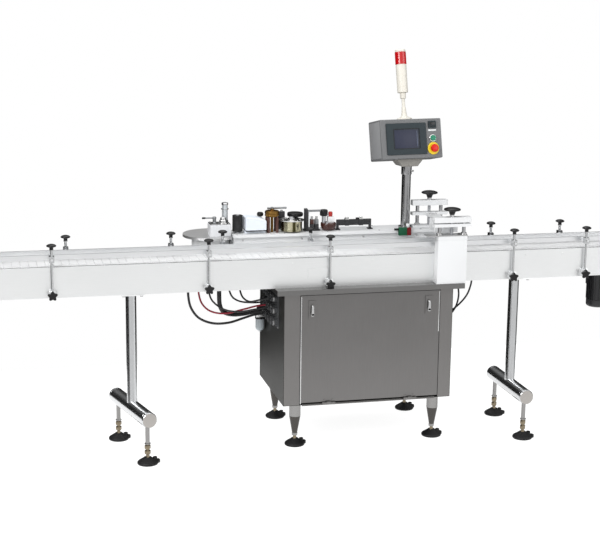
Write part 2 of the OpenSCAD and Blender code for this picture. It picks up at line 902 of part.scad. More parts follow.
// One chain slat: its back hinge is at the origin, its front hinge one pitch along X
module slat() {
    plate_z = hinge_below_slat - slat_t;
    x0 = slat_gap / 2;
    x1 = link_pitch - slat_gap / 2;
    translate([0, slat_w / 2, 0]) rotate([90, 0, 0]) linear_extrude(slat_w)
        polygon([[x0, plate_z], [x1, plate_z], [x1, hinge_below_slat - slat_chamfer],
                 [x1 - slat_chamfer, hinge_below_slat], [x0 + slat_chamfer, hinge_below_slat],
                 [x0, hinge_below_slat - slat_chamfer]]);
    // Barrels of the hinge: one in the middle at the front, two beside it at the back
    bar_y(barrel_d, link_pitch, -mid_barrel_w / 2, mid_barrel_w / 2, 0);
    translate([link_pitch - barrel_d / 2, -mid_barrel_w / 2, 0])
        cube([barrel_d / 2 - slat_gap / 2, mid_barrel_w, plate_z + slat_t / 2]);
    for (s = [0, 1]) mirror([0, s, 0]) {
        lo = mid_barrel_w / 2 + barrel_gap;
        bar_y(barrel_d, 0, lo, lo + side_barrel_w, 0);
        translate([slat_gap / 2, lo, 0])
            cube([barrel_d / 2 - slat_gap / 2, side_barrel_w, plate_z + slat_t / 2]);
    }
}

module chain_carry_run() {
    color([0.74, 0.75, 0.76])
        translate([-shaft_x, conveyor_y, carry_pin_z])
            for (i = [0:run_links - 1])
                translate([i * link_pitch, 0, 0]) slat();
}

// The slats that wrap half a turn round a sprocket
module chain_wrap() {
    turn = 360 / sprocket_teeth;
    for (k = [0:sprocket_teeth / 2 - 1])
        rotate([0, turn * k, 0]) translate([0, 0, sprocket_r])
            rotate([0, turn / 2, 0]) slat();
}

module chain_return_run() {
    color([0.74, 0.75, 0.76])
        translate([0, conveyor_y, return_pin_z])
            for (i = [0:run_links - 1])
                translate([shaft_x - i * link_pitch, 0, 0]) rotate([0, 180, 0]) slat();
}

module chain_end_slats() {
    color([0.74, 0.75, 0.76]) {
        translate([shaft_x, conveyor_y, shaft_z]) chain_wrap();
        translate([-shaft_x, conveyor_y, shaft_z]) rotate([0, 180, 0]) chain_wrap();
    }
}

// A toothed disc whose round seats hold the hinge barrels
module sprocket_disc() {
    translate([0, sprocket_w / 2, 0]) rotate([90, 0, 0])
        linear_extrude(sprocket_w)
            difference() {
                circle(r = sprocket_r - tooth_back);
                for (k = [0:sprocket_teeth - 1])
                    rotate(360 * k / sprocket_teeth)
                        translate([0, sprocket_r]) circle(d = barrel_d + 2 * tooth_clear);
            }
}

module sprocket_shaft(x, back_y, toothed) {
    disc_y = mid_barrel_w / 2 + barrel_gap + side_barrel_w / 2;
    color([0.66, 0.67, 0.69]) {
        bar_y(shaft_d, x, side_face_y - shaft_out_front, back_y, shaft_z);
        bar_y(hub_d, x, conveyor_y - hub_len / 2, conveyor_y + hub_len / 2, shaft_z);
        for (s = [-1, 1])
            if (toothed)
                translate([x, conveyor_y + s * disc_y, shaft_z]) sprocket_disc();
            else
                // A plain wheel that the hinge barrels roll over
                bar_y(2 * (sprocket_r - barrel_d / 2 - tooth_clear), x,
                      conveyor_y + s * disc_y - sprocket_w / 2, conveyor_y + s * disc_y + sprocket_w / 2, shaft_z);
        // Key that shows on the shaft end
        translate([x, side_face_y - shaft_out_front, shaft_z + shaft_d / 2 - side_t / 2])
            translate([-shaft_d / 8, 0, -side_t / 2]) cube([shaft_d / 4, shaft_out_front / 2, side_t]);
    }
}

module drive_shaft() {
    sprocket_shaft(shaft_x, side_back_y + shaft_out_back, true);
}

module idler_shaft() {
    sprocket_shaft(-shaft_x, side_back_y + housing_t, false);
}

// Flanged bearings on the outside of the side plates
module shaft_bearings() {
    color([0.24, 0.25, 0.26])
        for (x = [-shaft_x, shaft_x], back = [0, 1])
            translate([x, back ? side_back_y : side_face_y, shaft_z])
                rotate([back ? -90 : 90, 0, 0])
                    difference() {
                        union() {
                            linear_extrude(housing_t / 3)
                                round_outline(housing_flange, housing_flange, housing_t / 2);
                            cylinder(d = housing_d, h = housing_t / 2);
                        }
                        translate([0, 0, -overrun])
                            cylinder(d = shaft_d + 2 * run_gap, h = housing_t + 2 * overrun);
                    }
}

module gear_box() {
    y0 = side_back_y + housing_t / 2 + gear_box_gap;
    low_z = shaft_z - gear_box_h / 2;
    slope = gear_box_w / 5;
    color([0.07, 0.07, 0.08])
        difference() {
            union() {
                translate([shaft_x, y0 + gear_box_d, 0]) rotate([90, 0, 0]) linear_extrude(gear_box_d)
                    polygon([[-gear_box_w / 2, low_z + slope], [-gear_box_w / 2 + slope, low_z],
                             [gear_box_w / 2, low_z], [gear_box_w / 2, low_z + gear_box_h - slope],
                             [gear_box_w / 2 - slope, low_z + gear_box_h],
                             [-gear_box_w / 2, low_z + gear_box_h]]);
                bar_z(gear_neck_d, shaft_x, y0 + gear_box_d / 2, low_z - gear_neck_h, low_z + overrun);
                // Torque arm bolted to the side plate
                block([shaft_x - gear_box_w / 2 - torque_arm_w, side_back_y, shaft_z - torque_arm_h / 2],
                      [shaft_x - gear_box_w / 2 + overrun, y0 + torque_arm_w, shaft_z + torque_arm_h / 2]);
        }
            bar_y(shaft_d + 2 * run_gap, shaft_x, side_back_y - overrun, y0 + gear_box_d + overrun, shaft_z);
        }
}

module gear_motor() {
    y = side_back_y + housing_t / 2 + gear_box_gap + gear_box_d / 2;
    top_z = shaft_z - gear_box_h / 2 - gear_neck_h;
    low_z = top_z - motor_len;
    box_low_z = low_z + motor_len / 3;
    box_y = y + motor_d / 2 - motor_fin_out;
    color([0.08, 0.08, 0.09]) {
        bar_z(motor_d, shaft_x, y, top_z - gear_neck_h, top_z);
        bar_z(motor_d - 2 * motor_fin_out, shaft_x, y, low_z, top_z - gear_neck_h + overrun);
        for (i = [0:motor_fins - 1])
            translate([shaft_x, y, low_z]) rotate([0, 0, 360 * i / motor_fins])
                translate([motor_d / 2 - motor_fin_out - overrun, -motor_fin_t / 2, 0])
                    cube([motor_fin_out + overrun, motor_fin_t, motor_len - gear_neck_h]);
        translate([shaft_x, y, low_z - motor_cap_h])
            turned([[0, 0], [motor_cap_d / 2 - motor_fin_out, 0], [motor_cap_d / 2, motor_fin_out],
                    [motor_cap_d / 2, motor_cap_h], [0, motor_cap_h]]);
        // Terminal box
        block([shaft_x - terminal_w / 2, box_y, box_low_z],
              [shaft_x + terminal_w / 2, box_y + terminal_d, box_low_z + terminal_h]);
    }
}

// Guide rails

// A rail along the lane, with one pin out to each bracket
module guide_rail(rail_y, brackets, pin_from, pin_to) {
    rail_half = conveyor_half - rail_end_gap;
    pin_z = rail_top_z - rail_h / 2;
    block([-rail_half, rail_y, rail_top_z - rail_h], [rail_half, rail_y + rail_t, rail_top_z]);
    for (x = brackets) bar_y(rail_pin_d, x, pin_from, pin_to, pin_z);
}

module guide_rail_front() {
    color([0.82, 0.83, 0.84])
        guide_rail(rail_front_y, front_brackets, rail_post_front_y - rail_pin_out, rail_front_y + overrun);
}

module guide_rail_back() {
    color([0.82, 0.83, 0.84])
        guide_rail(rail_back_y, back_brackets, rail_back_y + rail_t - overrun, rail_post_back_y + rail_pin_out);
}

// Upright posts with the cross block that holds each rail pin
module rail_post(x, y) {
    pin_z = rail_top_z - rail_h / 2;
    difference() {
        union() {
            bar_z(rail_post_d, x, y, table_z + rail_post_low, rail_post_top_z);
            translate([x - cross_block_w / 2, y - cross_block_d / 2, pin_z - cross_block_h / 2])
                cube([cross_block_w, cross_block_d, cross_block_h]);
        }
        bar_y(rail_pin_d + 2 * run_gap, x, y - cross_block_d, y + cross_block_d, pin_z);
    }
}

module rail_posts() {
    color([0.76, 0.77, 0.78]) {
        for (x = front_brackets) rail_post(x, rail_post_front_y);
        for (x = back_brackets) rail_post(x, rail_post_back_y);
    }
}

// Clamp blocks bolted to the side plates, with a star knob in front
module rail_clamp(x, face_y, out) {
    post_y = face_y + out * rail_post_off;
    far_y = post_y + out * (rail_post_d / 2 + side_t);
    low_z = table_z + rail_post_low - clamp_h / 2;
    color([0.55, 0.56, 0.56])
        difference() {
            block([x - clamp_w / 2, min(face_y, far_y), low_z],
                  [x + clamp_w / 2, max(face_y, far_y), low_z + clamp_h]);
            bar_z(rail_post_d + 2 * run_gap, x, post_y, table_z + rail_post_low, low_z + clamp_h + overrun);
        }
    color([0.10, 0.10, 0.11])
        translate([x, far_y, table_z + rail_post_low]) rotate([out > 0 ? -90 : 90, 0, 0])
            linear_extrude(star_h) star_outline();
}

module star_outline() {
    circle(d = star_d * star_core_share);
    for (k = [0:star_lobes - 1])
        rotate(360 * k / star_lobes)
            translate([(star_d - star_lobe_d) / 2, 0]) circle(d = star_lobe_d);
}

module rail_clamps() {
    for (x = front_brackets) rail_clamp(x, side_face_y, -1);
    for (x = back_brackets) rail_clamp(x, side_back_y, 1);
}

module rail_knobs() {
    color([0.09, 0.09, 0.10]) {
        for (x = front_brackets) translate([x, rail_post_front_y, rail_post_top_z]) post_knob(knob_d, knob_h);
        for (x = back_brackets) translate([x, rail_post_back_y, rail_post_top_z]) post_knob(knob_d, knob_h);
    }
}

// A mushroom knob on a short stem
module post_knob(d, h) {
    turned([[0, 0], [knob_stem_d / 2, 0], [knob_stem_d / 2, knob_stem_h], [d / 2 - h / 4, knob_stem_h],
            [d / 2, knob_stem_h + h / 4], [d / 2 - h / 8, knob_stem_h + 3 * h / 4],
            [d / 4, knob_stem_h + h], [0, knob_stem_h + h]]);
}

module infeed_guard() {
    x0 = -conveyor_half;
    guard_top_z = side_top_z + guard_h;
    color([0.30, 0.31, 0.33])
        block([x0, side_face_y - guard_t, side_top_z - guard_rise],
              [x0 + guard_len, side_face_y, guard_top_z]);
}

// T legs

// A column on a cross tube with round ends, under a head plate and collar
module t_leg() {
    tube_half = foot_span / 2 + cross_tube_over;
    head_z = table_z - head_plate_t;
    color([0.80, 0.81, 0.83]) {
        bar_z(column_d, 0, 0, cross_tube_z, head_z);
        bar_y(cross_tube_d, 0, -tube_half, tube_half, cross_tube_z);
        // Domed end caps
        for (s = [0, 1]) mirror([0, s, 0]) translate([0, tube_half, cross_tube_z]) rotate([-90, 0, 0])
            turned([[0, 0], [cross_tube_d / 2, 0], [cross_tube_d / 2 - side_t, cap_h * cap_edge_share],
                    [cross_tube_d / 4, cap_h], [0, cap_h]]);
        bar_z(column_foot_d, 0, 0, cross_tube_z, cross_tube_z + cross_tube_d / 2 + column_foot_h / 2);
        bar_z(head_collar_d, 0, 0, head_z - head_collar_h, head_z);
    }
}

module t_head() {
    color([0.70, 0.71, 0.72])
        block([-head_plate_w / 2, -conveyor_w / 2, table_z - head_plate_t],
              [head_plate_w / 2, conveyor_w / 2, table_z]);
}

module t_legs() {
    translate([leg_x_left, conveyor_y, 0]) {
        rotate([0, 0, left_leg_turn]) t_leg();
        t_head();
    }
    translate([leg_x_right, conveyor_y, 0]) {
        t_leg();
        t_head();
    }
}

module t_feet_pair(lug_turn) {
    for (s = [-1, 1])
        translate([0, s * foot_span / 2, 0])
            leveling_foot(cross_tube_z - cross_tube_d / 2, lug_turn);
}

module t_leg_feet() {
    translate([leg_x_right, conveyor_y, 0]) t_feet_pair(0);
    translate([leg_x_left, conveyor_y, 0]) rotate([0, 0, left_leg_turn]) t_feet_pair(180);
}

// Labeling deck

module deck_housing() {
    z0 = table_z + shelf_t;
    low = [deck_l + plate_edge, deck_front_y + shelf_gap, z0];
    high = [deck_r - plate_edge, deck_back_y - plate_edge, deck_z - deck_t];
    wall = [housing_wall, housing_wall, housing_wall];
    color([0.88, 0.89, 0.89])
        difference() {
            block(low, high);
            block(low + [housing_wall, housing_wall, -overrun], high - wall);
        }
    color([0.62, 0.63, 0.63])
        difference() {
            bar_z(pedestal_d, round_x, round_y, z0, round_z - round_t);
            bar_z(pedestal_d - 2 * housing_wall, round_x, round_y,
                  z0 - overrun, round_z - round_t - housing_wall);
        }
}

module deck_plate() {
    color([0.90, 0.91, 0.91])
        difference() {
            block([deck_l, deck_front_y, deck_z - deck_t], [deck_r, deck_back_y, deck_z]);
            // Bearings of the turning pieces
            for (hole = [[drum_pin_d, drum_x, drum_y], [roller_pin_d, roller_x, station_y],
                         [gum_spindle_d, gum_x, station_y], [gum_spindle_d, hand_wheel_x, hand_wheel_y]])
                bar_z(hole[0] + 2 * run_gap, hole[1], hole[2], deck_z - deck_t - overrun, deck_z + overrun);
        }
}

module round_table() {
    color([0.64, 0.65, 0.66])
        difference() {
            translate([round_x, round_y, round_z - round_t]) cylinder(r = round_table_r, h = round_t);
            block([deck_l - seat_gap, deck_front_y - overrun, round_z - round_t - overrun],
                  [deck_l + 2 * round_table_r, round_y + 2 * round_table_r, round_z + overrun]);
        }
}

module shelf() {
    front_y = deck_front_y + shelf_gap;
    color([0.66, 0.67, 0.67])
        block([shelf_l, front_y, table_z], [deck_r, front_y + shelf_d, table_z + shelf_t]);
}

module label_drum() {
    z0 = deck_z + drum_lift;
    color([0.72, 0.70, 0.58]) {
        bar_z(drum_pin_d, drum_x, drum_y, deck_z - deck_t + seat_gap, z0 + drum_h + drum_pin_up);
        bar_z(drum_d, drum_x, drum_y, z0, z0 + drum_h);
        bar_z(drum_flange_d, drum_x, drum_y, z0 + drum_h - drum_flange_t, z0 + drum_h);
    }
}

module rubber_roller() {
    z0 = deck_z + roller_lift;
    color([0.06, 0.06, 0.07]) {
        bar_z(roller_d, roller_x, station_y, z0, z0 + roller_h);
        bar_z(roller_pin_d, roller_x, station_y, deck_z - deck_t + seat_gap, z0 + roller_h + roller_cap_t);
    }
}

module gum_roller_posts() {
    color([0.24, 0.12, 0.09])
        for (sx = [-1, 1], sy = [-1, 1])
            bar_z(gum_post_d, gum_x + sx * gum_post_gap / 2, station_y + sy * gum_post_gap / 2,
                  deck_z, gum_head_z - seat_gap);
}

module gum_roller_head() {
    top_z = gum_head_z + gum_head_h;
    color([0.63, 0.44, 0.16]) {
        bar_z(gum_spindle_d, gum_x, station_y, deck_z - deck_t + seat_gap, gum_head_z + overrun);
        bar_z(gum_head_d, gum_x, station_y, gum_head_z, top_z);
        bar_z(gum_stem_d, gum_x, station_y, top_z, top_z + gum_stem_h);
        bar_x(gum_bar_d, gum_x - gum_bar_len / 4, gum_x + 3 * gum_bar_len / 4, station_y, top_z + gum_stem_h);
    }
}

module drum_hand_wheel() {
    color([0.07, 0.07, 0.08]) {
        bar_z(gum_spindle_d, hand_wheel_x, hand_wheel_y, deck_z - deck_t + seat_gap, hand_wheel_z + overrun);
        translate([hand_wheel_x, hand_wheel_y, hand_wheel_z - knob_stem_h]) post_knob(hand_wheel_d, knob_d / 2);
    }
}

module feed_box() {
    y0 = feed_y - feed_box_d / 2;
    oiler_y = feed_y + oiler_in;
    top_z = round_z + feed_box_h;
    ring_z = top_z + oiler_h - oiler_cap_h;
    color([0.88, 0.89, 0.90])
        block([feed_box_x - feed_box_w / 2, y0, round_z],
              [feed_box_x + feed_box_w / 2 - plate_edge, y0 + feed_box_d, top_z]);
    color([0.75, 0.78, 0.80]) {
        bar_z(valve_d, feed_box_x + feed_box_w / 8, feed_y - oiler_in / 2, top_z, top_z + valve_h);
        bar_z(oiler_d, oiler_x, oiler_y, top_z, top_z + oiler_h);
        bar_z(oiler_ring_d, oiler_x, oiler_y, ring_z, ring_z + side_t);
    }
}

module feed_lever() {
    top_z = round_z + feed_box_h;
    x = feed_box_x - feed_box_w / 4;
    color([0.46, 0.49, 0.50]) {
        bar_z(valve_d / 2, x, feed_y, top_z + seat_gap, top_z + valve_h);
        bar_x(lever_d, x - lever_len, x, feed_y, top_z + valve_h - lever_d / 2);
    }
}

module label_magazine() {
    x0 = magazine_x - magazine_w / 2;
    y0 = station_y - magazine_d / 2;
    z0 = deck_z + magazine_lift;
    top_z = z0 + magazine_h;
    color([0.86, 0.89, 0.93])
        difference() {
            block([x0, y0, z0], [x0 + magazine_w, y0 + magazine_d, top_z]);
            block([x0 + magazine_wall, y0 - overrun, z0 + magazine_wall],
                  [x0 + magazine_w - magazine_wall, y0 + magazine_d - magazine_wall, top_z + overrun]);
        }
    color([0.20, 0.21, 0.22]) {
        block([x0, y0 + magazine_d / 4, deck_z], [x0 + magazine_w, y0 + 3 * magazine_d / 4, z0]);
        // Knob on the back wall
        bar_z(mag_knob_d, x0 + 3 * magazine_w / 4, y0 + magazine_d - mag_knob_d / 2, top_z, top_z + mag_knob_h);
    }
}

module station_brackets() {
    color([0.08, 0.08, 0.09]) {
        block([unit_post_x, station_y - unit_post_w, deck_z],
              [unit_post_x + unit_post_w, station_y + unit_post_w, deck_z + unit_post_h]);
        bar_z(dark_cap_d, dark_cap_x, station_y, deck_z + dark_cap_up, deck_z + dark_cap_up + dark_cap_h);
    }
    color([0.72, 0.73, 0.74]) {
        block([unit_plate_x, station_y - unit_post_w, deck_z],
              [unit_plate_x + unit_plate_t, station_y + unit_post_w, deck_z + unit_plate_h]);
        block([unit_plate_x, station_y - unit_post_w, deck_z],
              [unit_plate_x + unit_plate_w, station_y + unit_post_w, deck_z + unit_plate_t]);
        bar_z(dark_cap_d / 2, dark_cap_x, station_y, deck_z + pump_h / 2, deck_z + dark_cap_up);
    }
    color([0.30, 0.07, 0.05]) bar_z(pump_d, pump_x, station_y, deck_z, deck_z + pump_h);
    color([0.88, 0.88, 0.86])
        block([pump_x, station_y - pump_block_w / 2, deck_z + pump_h],
              [pump_x + pump_block_w, station_y + pump_block_w / 2, deck_z + pump_h + pump_block_h]);
    color([0.74, 0.07, 0.06])
        bar_z(pump_cap_d, pump_x + pump_block_w / 2, station_y, deck_z + pump_h + pump_block_h,
              deck_z + pump_h + pump_block_h + pump_cap_h);
}

module sensor_bar() {
    color([0.08, 0.08, 0.09]) {
        block([bar_l, station_y - bar_t / 2, sensor_z],
              [bar_l + bar_len, station_y + bar_t / 2, sensor_z + bar_h]);
        for (s = [0, 1])
            block([bar_l + s * (bar_len - bar_t), station_y - bar_t / 2, deck_z],
                  [bar_l + s * (bar_len - bar_t) + bar_t, station_y + bar_t / 2, sensor_z + overrun]);
    }
    color([0.76, 0.77, 0.78])
        for (share = bar_clamp_at_shares)
            translate([bar_l + share * bar_len, station_y, sensor_z + bar_h])
                translate([-bar_clamp_w / 2, -bar_clamp_w / 2, 0])
                    cube([bar_clamp_w, bar_clamp_w, bar_clamp_h]);
    // Two bottle sensors on the front edge of the deck, a green one and a red one
    red_l = eye_right_x - eye_w * eye_w_shares[1];
    color([0.09, 0.40, 0.24]) sensor_eye(red_l - eye_gap - eye_w * eye_w_shares[0], red_l - eye_gap);
    color([0.55, 0.10, 0.08]) sensor_eye(red_l, eye_right_x);
}

module sensor_eye(left, right) {
    top = deck_z + eye_up;
    lens_r = (right - left) / 4;
    block([left, deck_front_y - eye_d, top - eye_h], [right, deck_front_y, top]);
    bar_y(2 * lens_r, (left + right) / 2, deck_front_y - eye_d - eye_gap, deck_front_y - eye_d + overrun,
          top - eye_h + 2 * lens_r);
}

// Press units

module press_bridge(y, base_z, bridge_z) {
    difference() {
        translate([press_x - bridge_w / 2, y - bridge_d / 2, bridge_z])
            cube([bridge_w, bridge_d, bridge_h]);
        bar_z(screw_d + 2 * run_gap, press_x, y, bridge_z - overrun, bridge_z + bridge_h + overrun);
    }
    for (s = [-1, 1])
        bar_z(guide_rod_d, press_x + s * guide_rod_gap / 2, y, base_z, bridge_z);
}

module press_frame_back() {
    color([0.87, 0.88, 0.89]) {
        press_bridge(press_back_y, press_back_base_z, press_back_bridge_z);
        difference() {
            translate([press_x - bridge_w / 2, press_back_y - press_base_d / 2, deck_z])
                cube([bridge_w, press_base_d, press_back_base_z - deck_z]);
            bar_z(screw_d + 2 * run_gap, press_x, press_back_y, deck_z - overrun, press_back_base_z + overrun);
        }
    }
}

module press_frame_front() {
    y1 = side_face_y - seat_gap;
    color([0.87, 0.88, 0.89]) {
        press_bridge(press_front_y, press_front_base_z, press_front_bridge_z);
        difference() {
            block([press_x - press_block_w / 2, y1 - press_front_d, table_z + seat_gap],
                  [press_x + press_block_w / 2, y1, press_front_base_z]);
            bar_z(screw_d + 2 * run_gap, press_x, press_front_y,
                  press_front_base_z - hand_knob_h, press_front_base_z + overrun);
        }
    }
}

module press_screw(y, low_z, bridge_z) {
    top_z = bridge_z + bridge_h;
    color([0.70, 0.71, 0.72]) bar_z(screw_d, press_x, y, low_z, top_z + hand_knob_stem);
    color([0.07, 0.07, 0.08])
        translate([press_x, y, top_z + seat_gap]) post_knob(hand_knob_d, hand_knob_h);
}

module press_screw_back() {
    press_screw(press_back_y, deck_z + seat_gap, press_back_bridge_z);
}

module press_screw_front() {
    press_screw(press_front_y, press_front_base_z - hand_knob_h + seat_gap, press_front_bridge_z);
}

// Carriage on the guide rods with an arm that carries the press pad over the lane
module press_head(y, z, pad_y, reach) {
    color([0.10, 0.10, 0.11])
        difference() {
            union() {
                translate([press_x - bridge_w / 2, y - bridge_d / 2, z]) cube([bridge_w, bridge_d, carriage_h]);
                block([press_x - arm_w / 2, min(y, pad_y), z], [press_x + arm_w / 2, max(y, pad_y), z + arm_t]);
            }
            bar_z(screw_d + 2 * run_gap, press_x, y, z - overrun, z + carriage_h + overrun);
            for (s = [-1, 1])
                bar_z(guide_rod_d + 2 * run_gap, press_x + s * guide_rod_gap / 2, y,
                      z - overrun, z + carriage_h + overrun);
        }
    color([0.12, 0.14, 0.13])
        block([press_x - press_pad_w / 2, pad_y - press_pad_t / 2, z - press_pad_h],
              [press_x + press_pad_w / 2, pad_y + press_pad_t / 2, z + arm_t]);
}

module press_head_back() {
    press_head(press_back_y, carriage_back_z, conveyor_y + press_lane / 2, press_lane);
}

module press_head_front() {
    press_head(press_front_y, carriage_front_z, conveyor_y - press_lane / 2, press_lane);
}

// Control box and signal tower

module at_box() {
    translate([post_x, post_y, box_z]) rotate([0, 0, box_turn])
        translate([0, -box_d / 2, 0]) rotate([-box_tilt, 0, 0]) children();
}

module control_post() {
    color([0.62, 0.63, 0.66]) {
        bar_z(post_d, post_x, post_y, deck_z, post_top_z);
        bar_z(post_flange_d, post_x, post_y, deck_z, deck_z + post_flange_t);
    }
}

module control_box() {
    collar_low = post_top_z - collar_h;
    plate_z = post_top_z + seat_gap;
    color([0.53, 0.55, 0.55]) {
        at_box() translate([0, box_d, box_h / 2]) rotate([90, 0, 0]) {
            difference() {
                linear_extrude(box_d) round_outline(box_w, box_h, box_corner);
                translate([0, 0, -overrun]) linear_extrude(box_d - box_wall + overrun)
                    round_outline(box_w - 2 * box_wall, box_h - 2 * box_wall, box_corner - box_wall);
            }
            // Back cover, let into the box
            linear_extrude(box_wall)
                round_outline(box_w - 2 * box_wall - 2 * panel_gap, box_h - 2 * box_wall - 2 * panel_gap,
                              box_corner - box_wall);
        }
        // Tapered bracket between the collar and the box
        translate([post_x, post_y, 0]) rotate([0, 0, box_turn])
            translate([0, bracket_d / 2, 0]) rotate([90, 0, 0]) linear_extrude(bracket_d)
                polygon([[-bracket_low_w / 2, plate_z], [bracket_low_w / 2, plate_z],
                         [bracket_w / 2, plate_z + bracket_h], [-bracket_w / 2, plate_z + bracket_h]]);
        // Collar that turns on the post
        difference() {
            bar_z(collar_d, post_x, post_y, collar_low, plate_z + overrun);
            bar_z(post_d + 2 * run_gap, post_x, post_y, collar_low - overrun, plate_z);
        }
    }
}

// A place on the box's front face: across from its middle, up from its bottom
module on_face(across, up) {
    at_box() translate([across, 0, up]) rotate([90, 0, 0]) children();
}

module screen_bezel() {
    across = -box_w / 2 + bezel_inset + bezel_w / 2;
    color([0.33, 0.37, 0.39])
        on_face(across, box_h / 2) linear_extrude(bezel_t)
            difference() {
                round_outline(bezel_w, bezel_h, bezel_corner);
                square([screen_w, screen_h], center = true);
            }
    color([0.16, 0.17, 0.28])
        on_face(across, box_h / 2) linear_extrude(bezel_t - screen_t)
            square([screen_w - panel_gap, screen_h - panel_gap], center = true);
}

module panel_meter() {
    color([0.80, 0.80, 0.78])
        on_face(panel_col, meter_up) linear_extrude(meter_t) round_outline(meter_w, meter_h, side_t);
    color([0.92, 0.92, 0.92])
        on_face(panel_col, strip_label_up) linear_extrude(strip_label_t)
            square([strip_label_w, strip_label_h], center = true);
    // Ring that the start button slides in
    color([0.70, 0.71, 0.72])
        on_face(panel_col, start_up) difference() {
            cylinder(d = start_ring_d, h = start_ring_h);
            translate([0, 0, -overrun]) cylinder(d = start_d + 2 * run_gap, h = start_ring_h + 2 * overrun);
        }
}

module start_button() {
    color([0.10, 0.45, 0.22])
        on_face(panel_col, start_up) translate([0, 0, button_travel + seat_gap])
            cylinder(d = start_d, h = start_h);
}

module stop_button_base() {
    color([0.85, 0.70, 0.10])
        on_face(panel_col, estop_up) difference() {
            cylinder(d = estop_plate_d, h = estop_plate_t);
            translate([0, 0, -overrun])
                cylinder(d = estop_neck_d + 2 * run_gap, h = estop_plate_t + 2 * overrun);
        }
}

module stop_button() {
    dome_h = estop_head_d * estop_dome_share;
    color([0.75, 0.05, 0.06])
        on_face(panel_col, estop_up) {
            translate([0, 0, estop_travel + seat_gap]) cylinder(d = estop_neck_d, h = estop_out - estop_travel);
            translate([0, 0, estop_plate_t + estop_travel + seat_gap])
                turned([[0, 0], [estop_head_d / 2 - side_t, 0], [estop_head_d / 2, side_t],
                        [estop_head_d / 2, dome_h - side_t], [estop_head_d / 4, dome_h], [0, dome_h]]);
        }
}

module at_tower() {
    at_box() translate([0, box_d / 2, box_h]) children();
}

module tower_base() {
    cone_top = tower_flange_t + tower_cone_h;
    pole_top = cone_top + tower_pole_h;
    color([0.86, 0.86, 0.84])
        at_tower()
            turned([[0, 0], [tower_flange_d / 2, 0], [tower_flange_d / 2, tower_flange_t / 2],
                    [tower_cone_d / 2, tower_flange_t], [tower_pole_d / 2, cone_top],
                    [tower_pole_d / 2, pole_top], [tower_neck_d / 2, pole_top],
                    [tower_neck_d / 2, pole_top + tower_neck_h], [0, pole_top + tower_neck_h]]);
}

module tower_lenses() {
    z0 = tower_flange_t + tower_cone_h + tower_pole_h + tower_neck_h;
    color([0.88, 0.87, 0.84]) at_tower() translate([0, 0, z0]) cylinder(d = tower_d, h = tower_body_h);
    color([0.75, 0.04, 0.05]) at_tower() translate([0, 0, z0 + tower_body_h])
        cylinder(d = tower_d + tower_rib, h = tower_lens_h);
    color([0.88, 0.87, 0.84]) at_tower() translate([0, 0, z0 + tower_body_h + tower_lens_h])
        cylinder(d = tower_d, h = tower_cap_h);
}

// Connectors, air filter and leads

module side_connectors() {
    plate_l = side_x - connector_plate_t;
    plate_h = connector_rows * connector_step;
    color([0.16, 0.17, 0.17])
        block([plate_l, connector_y0, connector_top_z - plate_h],
              [side_x, connector_y0 + connector_cols * connector_step, connector_top_z]);
    color([0.60, 0.61, 0.62])
        for (i = [0:connector_cols - 1], k = [0:connector_rows - 1]) {
            y = connector_y0 + (i + 0.5) * connector_step;
            z = connector_top_z - (k + 0.5) * connector_step;
            bar_x(connector_d, plate_l - connector_out, plate_l, y, z);
            bar_x(connector_ring_d, plate_l - connector_out / 2, plate_l, y, z);
        }
    color([0.10, 0.10, 0.11]) {
        for (i = [0:gland_count - 1])
            bar_z(gland_d, gland_x0 + i * gland_step, gland_y, table_z - gland_h, table_z);
        for (y = side_gland_y) bar_x(gland_d, cabinet_r, cabinet_r + side_gland_len, y, side_gland_z);
        for (i = [0:len(top_gland_x) - 1])
            bar_z(gland_d / 2, top_gland_x[i], top_gland_y[i], table_z - top_gland_len, table_z);
        bar_z(gland_d, table_gland_x, table_gland_y, cabinet_top_z, table_z - 2 * sheet_t);
    }
}

module air_filter() {
    x1 = side_x;
    color([0.75, 0.76, 0.77])
        block([x1 - filter_head_w, filter_y - filter_head_w / 2, filter_z],
              [x1, filter_y + filter_head_w / 2, filter_z + filter_head_h]);
    color([0.80, 0.84, 0.86])
        bar_z(filter_bowl_d, x1 - filter_head_w / 2, filter_y, filter_z - filter_bowl_h, filter_z);
}

module leads() {
    color([0.06, 0.06, 0.06])
        translate([0, 0, cabinet_top_z - lead_datum_z]) {
            for (l = left_leads) swept_lead(l[0], l[1]);
            for (l = right_leads) swept_lead(l[0], l[1]);
        }
}

cabinet_frame();
cabinet_panels();
table_top();
door();
latch_left();
latch_right();
cabinet_legs();
cabinet_feet();
side_plate_front();
side_plate_back();
conveyor_cross_bars();
wear_strips();
chain_carry_run();
chain_return_run();
chain_end_slats();
drive_shaft();
idler_shaft();
shaft_bearings();
gear_box();
gear_motor();
guide_rail_front();
guide_rail_back();
rail_posts();
rail_clamps();
rail_knobs();
infeed_guard();
t_legs();
t_leg_feet();
deck_housing();
deck_plate();
round_table();
shelf();
label_drum();
rubber_roller();
gum_roller_head();
gum_roller_posts();
drum_hand_wheel();
feed_box();
feed_lever();
label_magazine();
station_brackets();
sensor_bar();
press_frame_back();
press_screw_back();
press_head_back();
press_frame_front();
press_screw_front();
press_head_front();
control_post();
control_box();
screen_bezel();
panel_meter();
start_button();
stop_button_base();
stop_button();
tower_base();
tower_lenses();
side_connectors();
air_filter();
leads();
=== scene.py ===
"""Looks of a bottle labeling machine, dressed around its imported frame.

Every size is in metres in the row frame: X along the conveyor, Y to the back, Z up from the floor.
"""

import json
import logging
import math
from dataclasses import dataclass, field
from enum import Enum
from typing import Iterable, Sequence, Union

import bmesh
import bpy
from mathutils import Matrix, Vector

